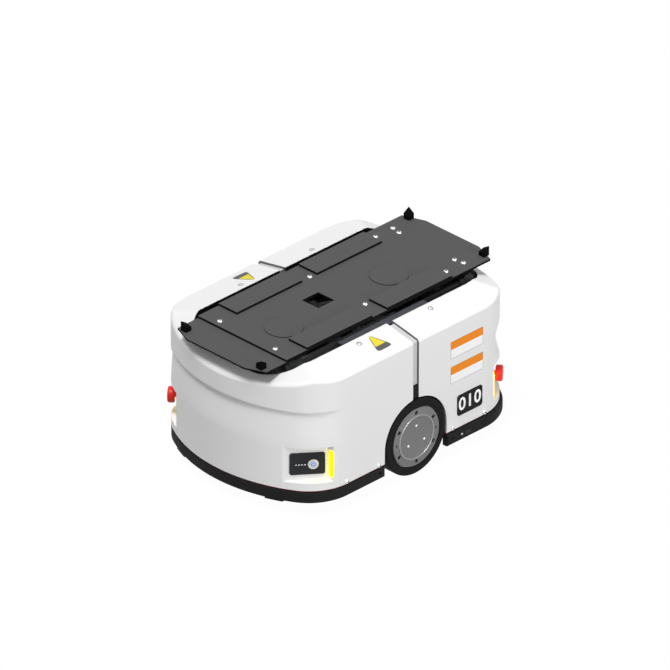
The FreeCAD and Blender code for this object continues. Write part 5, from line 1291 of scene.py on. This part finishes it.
def surroundings():
    """Soft light from all round that looks plain white when seen directly."""
    world = bpy.data.worlds.new("surroundings")
    bpy.context.scene.world = world
    world.use_nodes = True
    tree = Tree(world.node_tree)
    tree.tree.nodes.clear()
    soft, white = tree.node("ShaderNodeBackground"), tree.node("ShaderNodeBackground")
    tree.set(soft, Color=(1, 1, 1, 1), Strength=settings().ambient)
    tree.set(white, Color=(1, 1, 1, 1))
    mixed_surface(tree, seen_directly(tree), soft, white, tree.node("ShaderNodeOutputWorld"))


def pale_floor():
    """A matt floor that keeps the shadow and looks nearly white when seen directly."""
    values = settings()
    material = bpy.data.materials.new("floor_pale")
    material.use_nodes = True
    tree = Tree(material.node_tree)
    tree.tree.nodes.clear()
    matt, bright = tree.node("ShaderNodeBsdfDiffuse"), tree.node("ShaderNodeEmission")
    tree.set(matt, Color=(*(values.floor_shade,) * 3, 1))
    tree.set(bright, Strength=FLOOR_GLOW)
    share = tree.math("MULTIPLY", seen_directly(tree), values.floor_white)
    mixed_surface(tree, share, matt, bright, tree.node("ShaderNodeOutputMaterial"))
    corners = [(-FLOOR_REACH, -FLOOR_REACH, 0), (FLOOR_REACH, -FLOOR_REACH, 0), (FLOOR_REACH, FLOOR_REACH, 0),
               (-FLOOR_REACH, FLOOR_REACH, 0)]
    return add_mesh("floor", corners, [(0, 1, 2, 3)], material)


def looking(name, data, back, at):
    """A lamp or camera at a point that looks against the back direction."""
    obj = bpy.data.objects.new(name, data)
    bpy.context.scene.collection.objects.link(obj)
    obj.rotation_mode = "QUATERNION"
    obj.rotation_quaternion = back.to_track_quat("Z", "Y")
    obj.location = at
    return obj


def sun(name, strength, direction, spread):
    """A soft light from a direction."""
    lamp = bpy.data.lights.new(name, "SUN")
    lamp.energy = strength
    lamp.angle = radians(spread)
    return looking(name, lamp, Vector(direction), Vector(direction).normalized() * 4)


def stage():
    """Camera, lights, pale floor and white surroundings."""
    values = settings()
    scene = bpy.context.scene
    surroundings()
    made = [pale_floor(), sun("key_light", values.key_light, (0.05, -0.33, 1.0), 22),
            sun("side_light", values.side_light, (1.0, 0.0, 0.02), 36)]
    camera = bpy.data.cameras.new("camera")
    camera.lens, camera.sensor_width = 1000, 36
    camera.clip_start, camera.clip_end = 1, 200
    rise = radians(CAMERA_RISE)
    back = Vector((cos(rise) * sqrt(0.5), -cos(rise) * sqrt(0.5), sin(rise)))
    scene.camera = looking("camera", camera, back, CAMERA_AIM + back * CAMERA_DISTANCE)
    made.append(scene.camera)
    scene.view_settings.view_transform = "Standard"


# --- add-on ---------------------------------------------------------------------------------------


class RobotSettings(bpy.types.PropertyGroup):
    """Sizes, colours and light that are likely to be changed."""

    cover_rounding: FloatProperty(name="Cover Rounding", description="Rounding of the covers' cut edges",
                                  default=1.2 * MM, min=0.2 * MM, max=2.4 * MM, unit="LENGTH")
    lamp_color: FloatVectorProperty(name="Lamp Colour", description="Colour of the lit corner lamps", size=3,
                                    default=(1.0, 0.78, 0.0), min=0.0, max=1.0, subtype="COLOR")
    lamp_strength: FloatProperty(name="Lamp Strength", description="How strongly the corner lamps shine",
                                 default=5.0, min=0.0)
    digits: StringProperty(name="Number", description="Digits on the number plate", default="010")
    seed: IntProperty(name="Seed", description="Turn of the screw sockets", default=7, min=0)
    ambient: FloatProperty(name="Ambient", description="Light from all round", default=0.35, min=0.0)
    key_light: FloatProperty(name="Key Light", description="Strength of the light from above",
                             default=2.3, min=0.0)
    side_light: FloatProperty(name="Side Light", description="Strength of the light from the side",
                              default=2.6, min=0.0)
    floor_shade: FloatProperty(name="Floor Shade", description="How much light the floor returns",
                               default=0.3, min=0.0, max=1.0, subtype="FACTOR")
    floor_white: FloatProperty(name="Floor White", description="Share of plain white in the floor as seen",
                               default=0.9, min=0.0, max=1.0, subtype="FACTOR")


class ROBOT_OT_covers(bpy.types.Operator):
    """Builds the front and rear cover shells"""

    bl_idname = "robot.covers"
    bl_label = "Covers"

    def execute(self, context):
        cover_shell("front_cover", "front_shell", False)
        cover_shell("rear_cover", "rear_shell", True)
        return {"FINISHED"}


class ROBOT_OT_bumpers(bpy.types.Operator):
    """Builds the bumpers, their seals and side fittings"""

    bl_idname = "robot.bumpers"
    bl_label = "Bumpers"

    def execute(self, context):
        bumpers()
        side_fittings()
        return {"FINISHED"}


class ROBOT_OT_platform(bpy.types.Operator):
    """Builds the lifting platform with its pads, discs and corner stops"""

    bl_idname = "robot.platform"
    bl_label = "Platform"

    def execute(self, context):
        platform()
        return {"FINISHED"}


class ROBOT_OT_wheels(bpy.types.Operator):
    """Builds the drive wheels"""

    bl_idname = "robot.wheels"
    bl_label = "Drive Wheels"

    def execute(self, context):
        drive_wheels()
        return {"FINISHED"}


class ROBOT_OT_casters(bpy.types.Operator):
    """Builds the four casters"""

    bl_idname = "robot.casters"
    bl_label = "Casters"

    def execute(self, context):
        casters()
        return {"FINISHED"}


class ROBOT_OT_inside(bpy.types.Operator):
    """Builds the frame, the lift and the boxes under the covers"""

    bl_idname = "robot.inside"
    bl_label = "Frame and Lift"

    def execute(self, context):
        inner_parts()
        return {"FINISHED"}


class ROBOT_OT_controls(bpy.types.Operator):
    """Builds the operating panel and the emergency stops"""

    bl_idname = "robot.controls"
    bl_label = "Controls"

    def execute(self, context):
        controls()
        return {"FINISHED"}


class ROBOT_OT_lamps(bpy.types.Operator):
    """Builds the lamps in the corner recesses"""

    bl_idname = "robot.lamps"
    bl_label = "Lamps"

    def execute(self, context):
        lamps()
        return {"FINISHED"}


class ROBOT_OT_labels(bpy.types.Operator):
    """Builds the blank labels and the number plate"""

    bl_idname = "robot.labels"
    bl_label = "Labels"

    def execute(self, context):
        labels()
        return {"FINISHED"}


class ROBOT_OT_screws(bpy.types.Operator):
    """Places the button head screws"""

    bl_idname = "robot.screws"
    bl_label = "Screws"

    def execute(self, context):
        screws()
        return {"FINISHED"}


class ROBOT_OT_stage(bpy.types.Operator):
    """Sets up the camera, lights and floor"""

    bl_idname = "robot.stage"
    bl_label = "Stage"

    def execute(self, context):
        stage()
        return {"FINISHED"}


OPERATORS = (ROBOT_OT_covers, ROBOT_OT_bumpers, ROBOT_OT_platform, ROBOT_OT_wheels, ROBOT_OT_casters,
             ROBOT_OT_inside, ROBOT_OT_controls, ROBOT_OT_lamps, ROBOT_OT_labels, ROBOT_OT_screws,
             ROBOT_OT_stage)


class ROBOT_PT_panel(bpy.types.Panel):
    """Robot settings and build steps"""

    bl_idname = "ROBOT_PT_panel"
    bl_label = "Robot"
    bl_space_type = "VIEW_3D"
    bl_region_type = "UI"
    bl_category = "Robot"

    def draw(self, context):
        column = self.layout.column()
        for name in RobotSettings.__annotations__:
            column.prop(context.scene.robot, name)
        for operator in OPERATORS:
            column.operator(operator.bl_idname)


CLASSES = (RobotSettings, *OPERATORS, ROBOT_PT_panel)


def register():
    """Adds the classes and the settings."""
    for made in CLASSES:
        bpy.utils.register_class(made)
    bpy.types.Scene.robot = PointerProperty(type=RobotSettings)


def unregister():
    """Removes the settings and the classes."""
    del bpy.types.Scene.robot
    for made in reversed(CLASSES):
        bpy.utils.unregister_class(made)


def main():
    """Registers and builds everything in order."""
    register()
    for operator in OPERATORS:
        family, name = operator.bl_idname.split(".")
        getattr(getattr(bpy.ops, family), name)()


if __name__ == "__main__":
    main()
